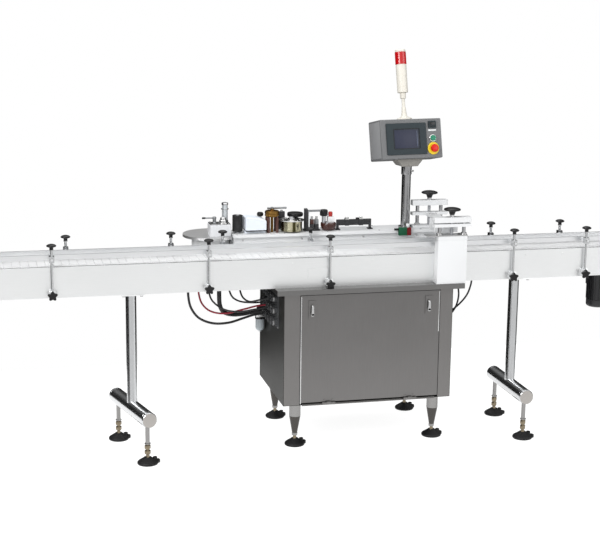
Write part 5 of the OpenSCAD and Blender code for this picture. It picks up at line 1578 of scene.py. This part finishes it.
@dataclass
class LabelingDeck:
    """Everything that stands on the deck, from the feed lever to the sensor bar."""

    deck_z: float = 1.03
    line_y: float = 0.088
    shaft_low: float = 1.0165
    valve: tuple[float, float] = (-0.376, 0.12)
    lever: Point = (-0.4325, 0.098, 1.1075)
    drum_at: tuple[float, float] = (-0.045, 0.08)
    magazine_x: tuple[float, float] = (-0.284, -0.18)

    def build(self, shop: Workshop) -> None:
        """Makes the deck's pieces."""
        self.feed(shop)
        self.roller()
        self.magazine()
        self.gum(shop)
        self.drum(shop)
        self.hand_wheel(shop)
        self.brackets()
        self.sensors()
        screws = [(x, y, self.deck_z) for x in (-0.33, -0.09, 0.13, 0.4, 0.62, 0.785) for y in (0.034, 0.16)]
        shop.fastenings.fit("deck_screws", screws, Z_AXIS, Head.SOCKET, (0.009, 0.0025))
        panel = [(x, 0.0418, z) for x in (-0.3, 0.0, 0.32, 0.6, 0.77) for z in (0.84, 1.0)]
        shop.fastenings.fit("housing_screws", panel, -Y_AXIS, Head.DOME, (0.01, 0.0025))

    def feed(self, shop: Workshop) -> None:
        """Makes the white feed box, its valve and sight glass, and the lever."""
        f = Finishes
        box = Shape("feed_box_cast")
        box.box((-0.46, 0.055, 1.018), (-0.355, 0.141, 1.078), f.feed_white, 0.005, segments=3)
        box.box((-0.458, 0.057, 1.0775), (-0.357, 0.139, 1.081), f.bright_zinc, 0.001)
        box.lathe([(0, 0), (0.024, 0), (0.024, 0.004), (0.019, 0.0055), (0.019, 0.016), (0.0145, 0.019),
            (0.0145, 0.028), (0.01, 0.0315), (0, 0.0315)], (-0.391, 0.087, 1.0805), f.bright_zinc, round_by=0.0008)
        box.lathe([(0, 0), (0.0165, 0), (0.0165, 0.01), (0.015, 0.012), (0, 0.012)], (*self.valve, 1.0805), f.chrome)
        box.lathe([(0, 0), (0.0165, 0), (0.0165, 0.008), (0.012, 0.0105), (0, 0.0105)], (*self.valve, 1.1695),
            f.chrome)
        box.lathe([(0.015, 0), (0.019, 0), (0.019, 0.003), (0.015, 0.003)], (*self.valve, 1.146), f.chrome)
        for px, py, _ in circle((*self.valve, 0), 0.0158, 4, 45):
            box.rod((px, py, 1.092), (px, py, 1.17), 0.0016, f.machined, steps=10)
        box.lathe([(0, 0), (0.0138, 0), (0.0138, 0.0775), (0, 0.0775)], (*self.valve, 1.0922), f.sight_glass)
        ride(box.make(), "white_paint", "feed_box")
        shop.fastenings.fit("feed_box_screws", [(x, y, 1.081) for x in (-0.449, -0.366) for y in (0.066, 0.134)],
            Z_AXIS, Head.SOCKET, (0.007, 0.002), f.machined)
        lever, (x, y, z) = Shape("feed_lever_turned"), self.lever
        lever.lathe([(0, 0), (0.0095, 0), (0.0095, 0.004), (0.0085, 0.006), (0.0085, 0.0195), (0.0095, 0.0215),
            (0.0095, 0.0295), (0.008, 0.0317), (0, 0.0317)], (x, y, 1.0812), f.lever_grey, round_by=0.0006)
        lever.rod((x - 0.06, y, z), (x, y, z), 0.0036, f.lever_grey)
        lever.lathe([(0, 0), (0.0042, 0), (0.0047, 0.004), (0.0047, 0.014), (0.0036, 0.0165), (0, 0.0165)],
            (-0.478, y, z), f.knob_black, -X_AXIS, 20)
        ride(lever.make(), "lever_grey", "feed_lever", body="lever")

    def roller(self) -> None:
        """Makes the black rubber roller."""
        f = Finishes
        x, y = -0.318, self.line_y
        shape = Shape("rubber_roller_moulded")
        rings = [(0, 0), (0.024, 0), (0.026, 0.002)]
        for k in range(9):
            h = 0.006 + 0.0082 * k
            rings += [(0.026, h), (0.0253, h + 0.0006), (0.0253, h + 0.0014), (0.026, h + 0.002)]
        rings += [(0.026, 0.08), (0.024, 0.082), (0.018, 0.082), (0.017, 0.0805), (0.008, 0.0805), (0, 0.0805)]
        shape.lathe(rings, (x, y, 1.038), f.roller_rubber, steps=56)
        shape.lathe([(0, 0), (0.01, 0), (0.01, 0.0035), (0.0072, 0.005), (0, 0.005)], (x, y, 1.1185), f.machined)
        shape.rod((x, y, self.shaft_low), (x, y, 1.039), 0.007, f.machined)
        ride(shape.make(), "roller_rubber", "rubber_roller", body="roller")

    def magazine(self) -> None:
        """Makes the white label magazine with its black setting knob."""
        f = Finishes
        shape = Shape("label_magazine_folded")
        low, high = 1.044, 1.11
        left, right = self.magazine_x
        knob = (-0.196, 0.124)
        shape.box((left, 0.065, self.deck_z), (right, 0.111, 1.0445), f.magazine_white, 0.001)
        # Painted shadow: a thin black strip under the white plate, for the shadow line at the bottom of the magazine.
        shape.box((-0.283, 0.043, low - 0.001), (-0.181, 0.133, low + 0.003), f.black_paint, 0.0005)
        shape.plate([(left, low + 0.003), (right, low + 0.003), (right, high - 0.016), (-0.186, high - 0.012),
            (-0.215, high - 0.004), (-0.25, high + 0.0015), (left, high + 0.0025)], 0.092, f.magazine_white,
            moved(0, 0.134, 0) @ XZ_PLANE, 0.003)
        shape.rod((*knob, high - 0.012), (*knob, high - 0.002), 0.007, f.machined)
        shape.lathe([(0, 0), (0.013, 0), (0.0155, 0.003), (0.0162, 0.008), (0.0155, 0.015), (0.012, 0.019),
            (0, 0.02)], (*knob, high - 0.004), f.knob_black, round_by=0.0006)
        ride(shape.make(), "magazine_white", "label_magazine")

    def gum(self, shop: Workshop) -> None:
        """Makes the brass gum roller head, its T bar and its four brown posts."""
        f = Finishes
        x, y = -0.143, self.line_y
        head = Shape("gum_head_turned")
        head.lathe([(0, 0), (0.03, 0), (0.034, 0.0025), (0.036, 0.0045), (0.036, 0.011), (0.0345, 0.0125),
            (0.0345, 0.015), (0.036, 0.0165), (0.036, 0.0255), (0.033, 0.03), (0.018, 0.03), (0.01, 0.0325),
            (0.01, 0.04), (0, 0.041)], (x, y, 1.108), f.brass, steps=56)
        head.rod((x, y, self.shaft_low), (x, y, 1.1085), 0.007, f.brass)
        head.rod((x - 0.02, y, 1.15), (x + 0.07, y, 1.15), 0.005, f.lever_grey)
        for px in (x - 0.0185, x + 0.0685):
            head.lathe([(0, -0.006), (0.005, -0.005), (0.0058, 0), (0.005, 0.005), (0, 0.006)], (px, y, 1.15),
                f.lever_grey, X_AXIS, 20)
        head.rod((x, y, 1.148), (x, y, 1.1555), 0.0075, f.lever_grey)
        ride(head.make(), "brass", "gum_roller_head", body="gum_head")
        shop.ribs.stand("gum_head_grip", [(x, y, 1.1291)], 36, 0.0358, (0.001, 0.002, 0.007), f.brass, "gum_head",
            "brass")
        posts = Shape("gum_posts_turned")
        for sx in (-1, 1):
            for sy in (-1, 1):
                posts.lathe([(0, 0), (0.0085, 0), (0.0085, 0.004), (0.0075, 0.006), (0.0075, 0.0715),
                    (0.0062, 0.0735), (0.0062, 0.0777), (0, 0.0777)], (x + sx * 0.022, y + sy * 0.022, self.deck_z),
                    f.brown_post, steps=28)
        posts.box((-0.094, 0.152, self.deck_z), (-0.062, 0.17, 1.12), f.black_paint, 0.002)
        posts.rod((-0.078, 0.161, 1.119), (-0.078, 0.161, 1.127), 0.006, f.bright_zinc)
        ride(posts.make(), "brown_post", "gum_roller_posts")

    def drum(self, shop: Workshop) -> None:
        """Makes the label drum: a polished cylinder under a bright rim."""
        f = Finishes
        shape = Shape("label_drum_turned")
        x, y = self.drum_at
        at = (x, y, 1.036)
        shape.lathe([(0, 0), (0.052, 0), (0.054, 0.0015), (0.054, 0.006), (0.0532, 0.0066), (0.0532, 0.0078),
            (0.054, 0.0084), (0.054, 0.0515)], at, f.drum_metal, steps=72)
        shape.lathe([(0.054, 0.0515), (0.0635, 0.0515), (0.065, 0.0525), (0.065, 0.055), (0.0635, 0.056),
            (0.058, 0.056), (0.0565, 0.0545), (0.024, 0.0535), (0.022, 0.056), (0.018, 0.057), (0, 0.057)], at,
            f.rim_silver, steps=72)
        shape.lathe([(0, 0.0565), (0.01, 0.0565), (0.01, 0.068), (0.0085, 0.07), (0, 0.07)], at, f.machined)
        shape.rod((x, y, self.shaft_low), (x, y, 1.0365), 0.01, f.machined)
        ride(shape.make(), "drum_brass", "label_drum", body="drum")
        around = circle((x, y, 1.0899), 0.043, 6)
        shop.fastenings.fit("drum_screws", around, Z_AXIS, Head.SOCKET, (0.008, 0.0028), body="drum")

    def hand_wheel(self, shop: Workshop) -> None:
        """Makes the black mushroom hand wheel behind the drum."""
        f = Finishes
        x, y = -0.008, 0.158
        shape = Shape("drum_hand_wheel_moulded")
        shape.lathe([(0, 0), (0.014, 0), (0.016, 0.005), (0.03, 0.0072), (0.038, 0.0085), (0.0402, 0.0125),
            (0.0402, 0.0225), (0.0375, 0.0265), (0.026, 0.028), (0, 0.0285)], (x, y, 1.086), f.knob_black, steps=56,
            round_by=0.001)
        shape.rod((x, y, self.shaft_low), (x, y, 1.087), 0.007, f.machined)
        ride(shape.make(), "knob_black", "drum_hand_wheel", body="drum_wheel")
        shop.ribs.stand("hand_wheel_grip", [(x, y, 1.1035)], 24, 0.0398, (0.001, 0.0046, 0.008), f.knob_black,
            "drum_wheel", "knob_black")

    def brackets(self) -> None:
        """Makes the bracket group: black post, white plate, valves, pump pot and caps."""
        f = Finishes
        z, y = self.deck_z, self.line_y
        s = Shape("station_brackets_built")
        s.box((0.024, y - 0.015, z), (0.039, y + 0.015, 1.142), f.black_paint, 0.0015)
        s.box((0.02, y - 0.022, z), (0.043, y + 0.022, z + 0.006), f.black_paint, 0.001)
        s.box((0.042, y - 0.015, z), (0.048, y + 0.015, 1.122), f.press_white, 0.001)
        s.box((0.042, y - 0.015, z), (0.104, y + 0.015, z + 0.006), f.black_paint, 0.001)
        s.box((0.028, y - 0.007, 1.126), (0.128, y + 0.007, 1.135), f.lever_grey, 0.0015)
        s.rod((0.03, y, 1.12), (0.03, y, 1.1445), 0.0075, f.lever_grey)
        s.lathe([(0, 0), (0.017, 0), (0.02, 0.003), (0.02, 0.026), (0.017, 0.031), (0.006, 0.032), (0, 0.032)],
            (0.124, y, 1.104), f.knob_black, round_by=0.001)
        s.rod((0.124, y, z + 0.02), (0.124, y, 1.105), 0.01, f.machined)
        for x, colour in ((0.062, f.pump_red), (0.086, f.lever_grey)):
            s.box((x - 0.01, y - 0.013, z + 0.0055), (x + 0.01, y + 0.013, z + 0.034), f.black_paint, 0.002)
            s.box((x - 0.009, y - 0.012, z + 0.034), (x + 0.009, y + 0.012, z + 0.058), colour, 0.002)
            s.rod((x, y, z + 0.057), (x, y, z + 0.072), 0.006, f.bright_zinc)
        s.lathe([(0, 0), (0.024, 0), (0.03, 0.003), (0.0355, 0.011), (0.0385, 0.022), (0.039, 0.034),
            (0.0375, 0.0385), (0.034, 0.04), (0, 0.04)], (0.148, y, z), f.pump_red, steps=56, round_by=0.0008)
        s.box((0.143, y - 0.016, 1.0695), (0.175, y + 0.016, 1.1), f.press_white, 0.003)
        s.lathe([(0, 0), (0.0095, 0), (0.0095, 0.005), (0.011, 0.007), (0.011, 0.02), (0.009, 0.024), (0, 0.024)],
            (0.158, y, 1.0995), f.cap_red, round_by=0.0008)
        s.rod((0.133, y - 0.03, 1.069), (0.133, y - 0.03, 1.078), 0.006, f.machined)
        ride(s.make(), "black_paint", "station_brackets")

    def sensors(self) -> None:
        """Makes the black sensor bar with its clamps, and the two bottle sensors."""
        f = Finishes
        y, low = self.line_y, 1.052
        s = Shape("sensor_bar_milled")
        s.box((0.19, y - 0.006, low), (0.372, y + 0.006, low + 0.03), f.black_paint, 0.0012)
        for x in (0.19, 0.36):
            s.box((x, y - 0.006, self.deck_z), (x + 0.012, y + 0.006, low + 0.002), f.black_paint, 0.001)
            s.box((x - 0.006, y - 0.016, self.deck_z), (x + 0.018, y + 0.016, self.deck_z + 0.005), f.black_paint,
                0.001)
        for x in (0.2446, 0.3174):
            s.box((x - 0.011, y - 0.009, low - 0.002), (x + 0.011, y + 0.009, low + 0.0335), f.black_paint, 0.001)
            s.box((x - 0.01, y - 0.01, low + 0.03), (x + 0.01, y + 0.01, low + 0.037), f.rim_silver, 0.001)
            for dx in (-0.007, 0.007):
                s.rod((x + dx, y, low + 0.0365), (x + dx, y, low + 0.042), 0.0024, f.rim_silver, steps=14)
        s.rod((0.3, y, low + 0.029), (0.3, y, low + 0.037), 0.009, f.knob_black, steps=24)
        for x0, x1, colour in ((0.4965, 0.5395, f.block_green), (0.5405, 0.562, f.block_red)):
            s.box((x0, 0.006, 1.004), (x1, 0.022, 1.045), colour, 0.002, segments=3)
        s.rod((0.474, 0.014, 1.036), (0.497, 0.014, 1.036), 0.0055, f.knob_black, steps=24)
        s.lathe([(0, 0), (0.006, 0), (0.006, 0.004), (0.01, 0.006), (0.01, 0.016), (0.008, 0.0185), (0, 0.019)],
            (0.545, 0.014, 1.0448), f.press_white, round_by=0.0006)
        ride(s.make(), "black_paint", "sensor_bar")


@dataclass
class PressStation:
    """The hand knobs, screws and trim of both press units."""

    x: float = 0.69
    back_y: float = 0.114
    front_y: float = -0.234
    back_base: float = 1.038
    front_base: float = 1.05
    rod_off: float = 0.063
    cover_y: float = -0.2303

    def build(self, shop: Workshop) -> None:
        """Makes the pieces of both units."""
        f = Finishes
        self.frame("back", self.back_y, self.back_base, 1.14)
        self.frame("front", self.front_y, self.front_base, 1.11)
        self.screw("back", self.back_y, 1.0303, 1.1673)
        self.screw("front", self.front_y, 1.0243, 1.1373)
        trim = Shape("press_trim")
        for dx in (-self.rod_off, self.rod_off):
            for y, z in ((self.back_y, self.back_base), (self.front_y, self.front_base)):
                trim.lathe([(0.0092, 0), (0.015, 0), (0.015, 0.006), (0.0125, 0.009), (0.0092, 0.009)],
                    (self.x + dx, y, z), f.bright_zinc)
        ride(trim.make(), "bright_steel")
        for side, y, way in (("back", -0.081, -1), ("front", -0.143, 1)):
            face = Shape(f"press_pad_face_{side}")
            face.box((self.x - 0.057, min(y, y + way * 0.003), 1.049), (self.x + 0.057, max(y, y + way * 0.003),
                1.086), f.press_foam, 0.001)
            ride(face.make(), "press_black", body=f"head_{side}")
            heads = [(self.x + dx, self.back_y - 0.06 if side == "back" else self.front_y + 0.045, 1.102
                if side == "back" else 1.101) for dx in (-0.015, 0.015)]
            shop.fastenings.fit(f"press_arm_screws_{side}", heads, Z_AXIS, Head.SOCKET, (0.008, 0.005),
                body=f"head_{side}")

    def frame(self, side: str, y: float, low: float, high: float) -> None:
        """Makes one unit's base, rods and white bridge.

        Args:
            side: back or front.
            y: the unit's middle.
            low: the base's top.
            high: the bridge's underside.
        """
        f = Finishes
        s = Shape(f"press_frame_{side}_built")
        hole = rounded(0.0167, 0.0167, 0.00835)
        s.ring_plate(rounded(0.19, 0.04, 0.003), hole, 0.027, f.press_white, moved(self.x, y, high), 0.0012)
        for dx in (-self.rod_off, self.rod_off):
            s.rod((self.x + dx, y, low - 0.001), (self.x + dx, y, high + 0.001), 0.009, f.dark_chrome, steps=40)
        if side == "back":
            s.ring_plate(rounded(0.19, 0.06, 0.003), hole, 0.008, f.press_white, moved(self.x, y, 1.03), 0.001)
        else:
            s.box((0.615, -0.2583, 0.8053), (0.765, -0.2023, 1.023), f.press_white, 0.0015)
            s.ring_plate(rounded(0.15, 0.056, 0.0015), [(px, py - 0.0037) for px, py in hole], 0.022, f.press_white,
                moved(self.x, self.cover_y, 1.0228), 0.0008)
            around = [(px + 0.027, py - 0.0037) for px, py in hole]
            s.ring_plate(rounded(0.206, 0.06, 0.002), around, 0.0052, f.guard_pale,
                moved(0.663, self.cover_y, 1.0448), 0.0008)
        ride(s.make(), "press_white", f"press_frame_{side}")

    def screw(self, side: str, y: float, low: float, top: float) -> None:
        """Makes one screw with its mushroom knob.

        Args:
            side: back or front.
            y: the screw's place.
            low: its lower end.
            top: the bridge's top.
        """
        f = Finishes
        shape = Shape(f"press_screw_{side}_turned")
        profile = [(0, low), (0.007, low), (0.0079, low + 0.001)]
        h = low + 0.003
        while h < top - 0.034:
            profile += [(0.0079, h), (0.0071, h + 0.0012), (0.0079, h + 0.0024)]
            h += 0.0025
        profile += [(0.0079, top - 0.03), (0.0079, top + 0.006), (0, top + 0.006)]
        shape.lathe(profile, (self.x, y, 0), f.machined, steps=24)
        shape.lathe([(0, 0), (0.011, 0), (0.011, 0.011), (0, 0.011)], (self.x, y, top), f.chrome, steps=40)
        shape.lathe([(0, 0), (0.0115, 0), (0.0125, 0.002), (0.0165, 0.014), (0.023, 0.0185), (0.037, 0.021),
            (0.0415, 0.0235), (0.042, 0.026), (0.04, 0.0295), (0.03, 0.0335), (0.015, 0.0362), (0, 0.037)],
            (self.x, y, top + 0.0105), f.knob_black, steps=56, round_by=0.0008)
        ride(shape.make(), "knob_black", f"press_screw_{side}", body=f"screw_{side}")


@dataclass
class ControlHead:
    """The control box with its bracket, screen, meter, buttons and signal tower."""

    place: Point = (0.557, 0.098, 1.392)
    turn: float = math.radians(8.7)
    tilt: float = math.radians(11.5)
    width: float = 0.34
    height: float = 0.2
    depth: float = 0.142
    column: float = 0.116
    start_z: float = 0.1
    stop_z: float = 0.048

    def at(self, across: float = 0.0, back: float = 0.0, up: float = 0.0) -> Matrix:
        """The box's own frame, moved within it.

        Args:
            across: metres to the right.
            back: metres to the back.
            up: metres up.

        Returns:
            The frame.
        """
        box = (Matrix.Translation(self.place) @ Matrix.Rotation(self.turn, 4, "Z") @ moved(0, -self.depth / 2, 0)
            @ Matrix.Rotation(-self.tilt, 4, "X"))
        return box @ moved(across, back, up)

    def face(self, across: float, up: float, out: float = 0.0) -> Matrix:
        """A frame on the box's front whose Z points out of it."""
        return self.at(across, -out, up) @ XZ_PLANE

    def build(self, shop: Workshop) -> None:
        """Makes the head's pieces."""
        self.box(shop)
        self.screen()
        self.panel()
        self.buttons(shop)
        self.tower(shop)

    def box(self, shop: Workshop) -> None:
        """Makes the box, its door lip, back cover, bracket and collar."""
        f = Finishes
        w, h, d = self.width, self.height, self.depth
        s = Shape("control_box_folded")
        s.box((-w / 2, 0.0012, 0), (w / 2, d, h), f.box_grey, 0.006, self.at(), 3)
        s.plate(rounded(w - 0.006, h - 0.006, 0.007), 0.0018, f.box_grey, self.face(0, h / 2, -0.0018), 0.0007)
        s.box((-w / 2 + 0.012, d - 0.001, 0.012), (w / 2 - 0.012, d + 0.001, h - 0.012), f.box_grey, 0.0008,
            self.at())
        # Painted light: a thin plate of lighter grey paint over the box's left side, standing in for light on that
        # side.
        s.box((-w / 2 - 0.0004, 0.011, 0.009), (-w / 2 + 0.001, d - 0.009, h - 0.009), f.box_side, 0.0003, self.at())
        turned = moved(self.place[0], self.place[1], 0) @ Matrix.Rotation(self.turn, 4, "Z")
        low, high = 1.348, 1.3863
        s.plate([(-0.043, low), (0.043, low), (0.075, high), (-0.075, high)], 0.084, f.bracket_grey, turned
            @ moved(0, 0.042, 0) @ XZ_PLANE, 0.002)
        s.box((-0.08, -0.046, high - 0.0005), (0.08, 0.046, high + 0.0035), f.bracket_grey, 0.001, turned)
        s.lathe([(0.0232, 0), (0.0262, 0), (0.0266, 0.001), (0.0266, 0.045), (0.0232, 0.045)],
            (self.place[0], self.place[1], 1.3043), f.post_steel, steps=48)
        ride(s.make(), "box_paint", "control_box", body="control_head")
        shop.fastenings.fit("box_cover_screws", [self.at(x, d + 0.001, z).translation for x in (-0.15, 0.15)
            for z in (0.02, 0.18)], self.at().to_3x3() @ Y_AXIS, Head.DOME, (0.008, 0.0022), body="control_head")
        vents = [self.at(-0.06 + 0.012 * k, d + 0.0008, 0.1).translation for k in range(11)]
        shop.copies.set_out(Shape("vent").box((-0.0022, -0.0006, -0.03), (0.0022, 0.0008, 0.03), f.black_paint,
            0.0004, self.at().to_3x3().to_4x4()), "box_vents", vents, f.black_paint, "control_head", "black_paint")
        shop.fastenings.fit("collar_screw", [(self.place[0] + 0.0318, self.place[1], 1.319)], X_AXIS, Head.SOCKET,
            (0.01, 0.006), body="control_head")

    def screen(self) -> None:
        """Makes the bezel and the dark screen with its narrow side strip."""
        f = Finishes
        face = self.face(-0.031, self.height / 2)
        s = Shape("screen_bezel_moulded")
        s.ring_plate(rounded(0.222, 0.158, 0.004), rounded(0.146, 0.102, 0.003), 0.006, f.bezel_grey, face, 0.0014)
        s.ring_plate(rounded(0.146, 0.102, 0.003), rounded(0.14, 0.096, 0.002), 0.0048, f.knob_black, face, 0.0004)
        s.box((-0.071, -0.049, 0), (0.071, 0.049, 0.0034), f.strip_glass, 0.0003, face)
        s.box((-0.065, -0.046, 0.003), (0.054, 0.043, 0.0042), f.screen_glass, 0.0003, face)
        s.box((0.0575, -0.04, 0.003), (0.06, 0.04, 0.004), f.key_blue, 0.0003, face)
        s.box((-0.03, -0.0685, 0.0055), (0.03, -0.06, 0.0066), f.bezel_grey, 0.0004, face)
        ride(s.make(), "bezel_grey", "screen_bezel", body="control_head")

    def panel(self) -> None:
        """Makes the small meter, the white strip and the start button's ring."""
        f = Finishes
        s, meter = Shape("panel_meter_moulded"), self.face(self.column, 0.168)
        s.box((-0.0205, -0.018, 0), (0.0205, 0.018, 0.0075), f.bezel_grey, 0.0015, meter)
        s.ring_plate(rounded(0.041, 0.036, 0.003), rounded(0.032, 0.026, 0.002), 0.009, f.bezel_grey, meter, 0.0006)
        s.box((-0.0155, -0.002, 0.007), (0.0155, 0.0125, 0.0082), f.meter_window, 0.0004, meter)
        for k in range(4):
            s.box((-0.0145 + 0.0078 * k, -0.0112, 0.007), (-0.009 + 0.0078 * k, -0.0062, 0.0086), f.knob_black,
                0.0004, meter)
        s.box((-0.022, -0.004, 0), (0.022, 0.004, 0.001), f.label_white, 0.0002, self.face(self.column, 0.14))
        s.lathe([(0.0151, 0), (0.019, 0), (0.019, 0.005), (0.0172, 0.007), (0.0151, 0.007)], ORIGIN, f.bright_zinc,
            frame=self.face(self.column, self.start_z))
        ride(s.make(), "meter_plastic", "panel_meter", body="control_head")

    def buttons(self, shop: Workshop) -> None:
        """Makes the green start button, the yellow plate and the red stop button."""
        f = Finishes
        start = Shape("start_button_moulded")
        start.lathe([(0, 0), (0.0149, 0), (0.0149, 0.0062), (0.0138, 0.0078), (0.0115, 0.0078), (0.0105, 0.007),
            (0, 0.0068)], ORIGIN, f.button_green, frame=self.face(self.column, self.start_z, 0.0043))
        ride(start.make(), "button_green", "start_button", body="start")
        base = Shape("stop_plate_moulded")
        base.lathe([(0.0111, 0), (0.03, 0), (0.031, 0.001), (0.031, 0.0062), (0.0285, 0.008), (0.017, 0.008),
            (0.015, 0.0066), (0.0111, 0.0066)], ORIGIN, f.stop_yellow, frame=self.face(self.column, self.stop_z))
        ride(base.make(), "yellow_plastic", "stop_button_base", body="control_head")
        stop = Shape("stop_button_moulded")
        stop.lathe([(0, 0), (0.0109, 0), (0.0109, 0.0081), (0.018, 0.0081), (0.0198, 0.0098), (0.02, 0.013),
            (0.0196, 0.0182), (0.0178, 0.0218), (0.014, 0.0238), (0.007, 0.0246), (0, 0.0248)], ORIGIN, f.stop_red,
            frame=self.face(self.column, self.stop_z, 0.0053))
        ride(stop.make(), "stop_red", "stop_button", body="stop")
        shop.ribs.stand("stop_button_grip", [self.face(self.column, self.stop_z, 0.0198).translation], 24, 0.0194,
            (0.0014, 0.0018, 0.006), f.stop_red, "stop", "stop_red", self.face(0, 0).to_3x3() @ Z_AXIS)

    def tower(self, shop: Workshop) -> None:
        """Makes the signal tower."""
        f = Finishes
        base = Shape("tower_base_turned")
        stand = self.at(0, self.depth / 2, self.height)
        base.lathe([(0, 0), (0.038, 0), (0.039, 0.001), (0.039, 0.0075), (0.037, 0.0095), (0.028, 0.013),
            (0.019, 0.017), (0.0145, 0.024), (0.0125, 0.04), (0.011, 0.062), (0.0085, 0.068), (0.0082, 0.108),
            (0.0135, 0.1105), (0.015, 0.112), (0.015, 0.1385), (0.014, 0.14), (0, 0.14)], ORIGIN, f.cream_plastic,
            frame=stand)
        ride(base.make(), "cream_plastic", "tower_base", body="control_head")
        body = Shape("tower_stack_moulded")
        r, groove = 0.027, 0.0262
        low = [(0, 0.14), (0.0265, 0.14), (r, 0.1405)]
        for seam in (0.168, 0.225, 0.2805):
            low += [(r, seam), (groove, seam + 0.0006), (groove, seam + 0.0012), (r, seam + 0.0018)]
        body.lathe(low + [(r, 0.282), (0, 0.282)], ORIGIN, f.cream_plastic, frame=stand)
        body.lathe([(0, 0.2819), (0.0265, 0.2819), (0.028, 0.283), (0.028, 0.344), (0.0265, 0.345), (0, 0.345)],
            ORIGIN, f.lens_red, frame=stand)
        body.lathe([(0, 0.3449), (0.0268, 0.3449), (0.027, 0.3455), (0.027, 0.354), (0.025, 0.357), (0.018, 0.358),
            (0, 0.358)], ORIGIN, f.cream_plastic, frame=stand)
        ride(body.make(), "lens_plastic", "tower_lenses", body="control_head")
        up = stand.to_3x3() @ Z_AXIS
        shop.ribs.stand("tower_lens_ribs", [stand @ Vector((0, 0, 0.3135))], 36, 0.0276, (0.0012, 0.0016, 0.058),
            f.lens_red, "control_head", "lens_plastic", up)
        screws = [stand @ Vector(p) for p in circle((0, 0, 0.0095), 0.032, 3, 30)]
        shop.fastenings.fit("tower_screws", screws, up, Head.SOCKET, (0.007, 0.003), body="control_head")


@dataclass
class SidePanel:
    """Rings and pins of the connectors at the cabinet's left side, and the air filter."""

    plate_x: float = -0.153
    rows: tuple[float, ...] = (0.73, 0.67, 0.61)
    columns: tuple[float, ...] = (-0.09, -0.03, 0.03, 0.09, 0.15)

    def build(self, shop: Workshop) -> None:
        """Makes the side panel's pieces."""
        f = Finishes
        spots = [(y, z) for y in self.columns for z in self.rows]
        nut = self.plate_x - 0.0165
        shop.fastenings.fit("connector_nuts", [(nut, y, z) for y, z in spots], -X_AXIS, Head.HEX, (0.036, 0.006),
            slot="connector_metal")
        shop.ribs.stand("connector_grips", [(self.plate_x - 0.028, y, z) for y, z in spots], 20, 0.0131,
            (0.0012, 0.0022, 0.009), f.cast_dark, slot="connector_metal", way=-X_AXIS)
        corners = [(self.plate_x, y, z) for y in (-0.113, 0.173) for z in (0.588, 0.752)]
        shop.fastenings.fit("connector_plate_screws", corners, -X_AXIS, Head.DOME, (0.009, 0.003))
        s = Shape("air_filter_built")
        x, y = -0.176, 0.206
        s.box((-0.202, 0.18, 0.568), (-0.15, 0.232, 0.602), f.bright_zinc, 0.003, segments=3)
        s.lathe([(0, 0), (0.006, 0), (0.008, 0.004), (0.008, 0.012), (0, 0.012)], (x, y, 0.4862), f.machined,
            steps=20)
        s.lathe([(0, 0.494), (0.012, 0.4945), (0.019, 0.499), (0.0225, 0.506), (0.023, 0.514), (0.023, 0.556),
            (0.0215, 0.558), (0.0215, 0.568), (0, 0.568)], (x, y, 0), f.filter_bowl, steps=40)
        s.lathe([(0.0216, 0), (0.0258, 0), (0.0258, 0.01), (0.0216, 0.01)], (x, y, 0.5575), f.knob_black, steps=40)
        s.lathe([(0, 0), (0.016, 0), (0.018, 0.002), (0.018, 0.012), (0.0165, 0.015), (0, 0.015)], (x, y, 0.6019),
            f.knob_black, steps=32)
        ride(s.make(), "filter_clear", "air_filter")
        shop.ribs.stand("air_filter_grip", [(x, y, 0.6096)], 20, 0.0181, (0.001, 0.002, 0.009), f.knob_black,
            slot="knob_black")


def dress_frame() -> None:
    """Gives every CAD node that stays in view its finish."""
    f = Finishes
    plan = ((f.cabinet_steel, "cabinet_frame cabinet_legs"), (f.side_panel, "cabinet_panels"),
        (f.table_steel, "table_top shelf"), (f.door_steel, "door"), (f.leg_steel, "latch_left latch_right"),
        (f.foot_rubber, "cabinet_feet t_leg_feet"), (f.conveyor_steel, "side_plate_front side_plate_back"),
        (f.rail_steel, "conveyor_cross_bars guide_rail_front guide_rail_back"), (f.wear_plastic, "wear_strips"),
        (f.chain_steel, "chain_carry_run chain_return_run chain_end_slats"),
        (f.machined, "drive_shaft idler_shaft feed_lever"), (f.cast_dark, "shaft_bearings side_connectors"),
        (f.black_paint, "gear_box gear_motor station_brackets sensor_bar"), (f.chrome_leg, "rail_posts"),
        (f.knob_black, "rail_clamps rail_knobs drum_hand_wheel press_screw_back press_screw_front"),
        (f.guard_grey, "infeed_guard"), (f.chrome, "t_legs"), (f.white_paint, "deck_housing deck_plate"),
        (f.disc_alloy, "round_table"), (f.drum_metal, "label_drum"), (f.roller_rubber, "rubber_roller"),
        (f.brass, "gum_roller_head"), (f.brown_post, "gum_roller_posts"),
        (f.press_white, "feed_box press_frame_back press_head_back press_frame_front press_head_front"),
        (f.magazine_white, "label_magazine"), (f.post_steel, "control_post"), (f.box_grey, "control_box"),
        (f.bezel_grey, "screen_bezel panel_meter"), (f.button_green, "start_button"),
        (f.stop_yellow, "stop_button_base"), (f.stop_red, "stop_button"),
        (f.cream_plastic, "tower_base tower_lenses"), (f.filter_bowl, "air_filter"), (f.lead_sheath, "leads"))
    for finish, nodes in plan:
        for node in nodes.split():
            paint_node(node, finish)


def main() -> None:
    """Builds the whole scene."""
    logging.basicConfig(level=logging.INFO, format="%(message)s")
    studio = Studio()
    studio.camera()
    Leads().build()
    dress_frame()
    shop = Workshop()
    for part in (Cabinet(), LevelingFeet(), TLegs(), GuideRails(), Conveyor(), LabelingDeck(), PressStation(),
            ControlHead(), SidePanel()):
        log.info("building %s", type(part).__name__)
        part.build(shop)
    studio.build()


if __name__ == "__main__":
    main()
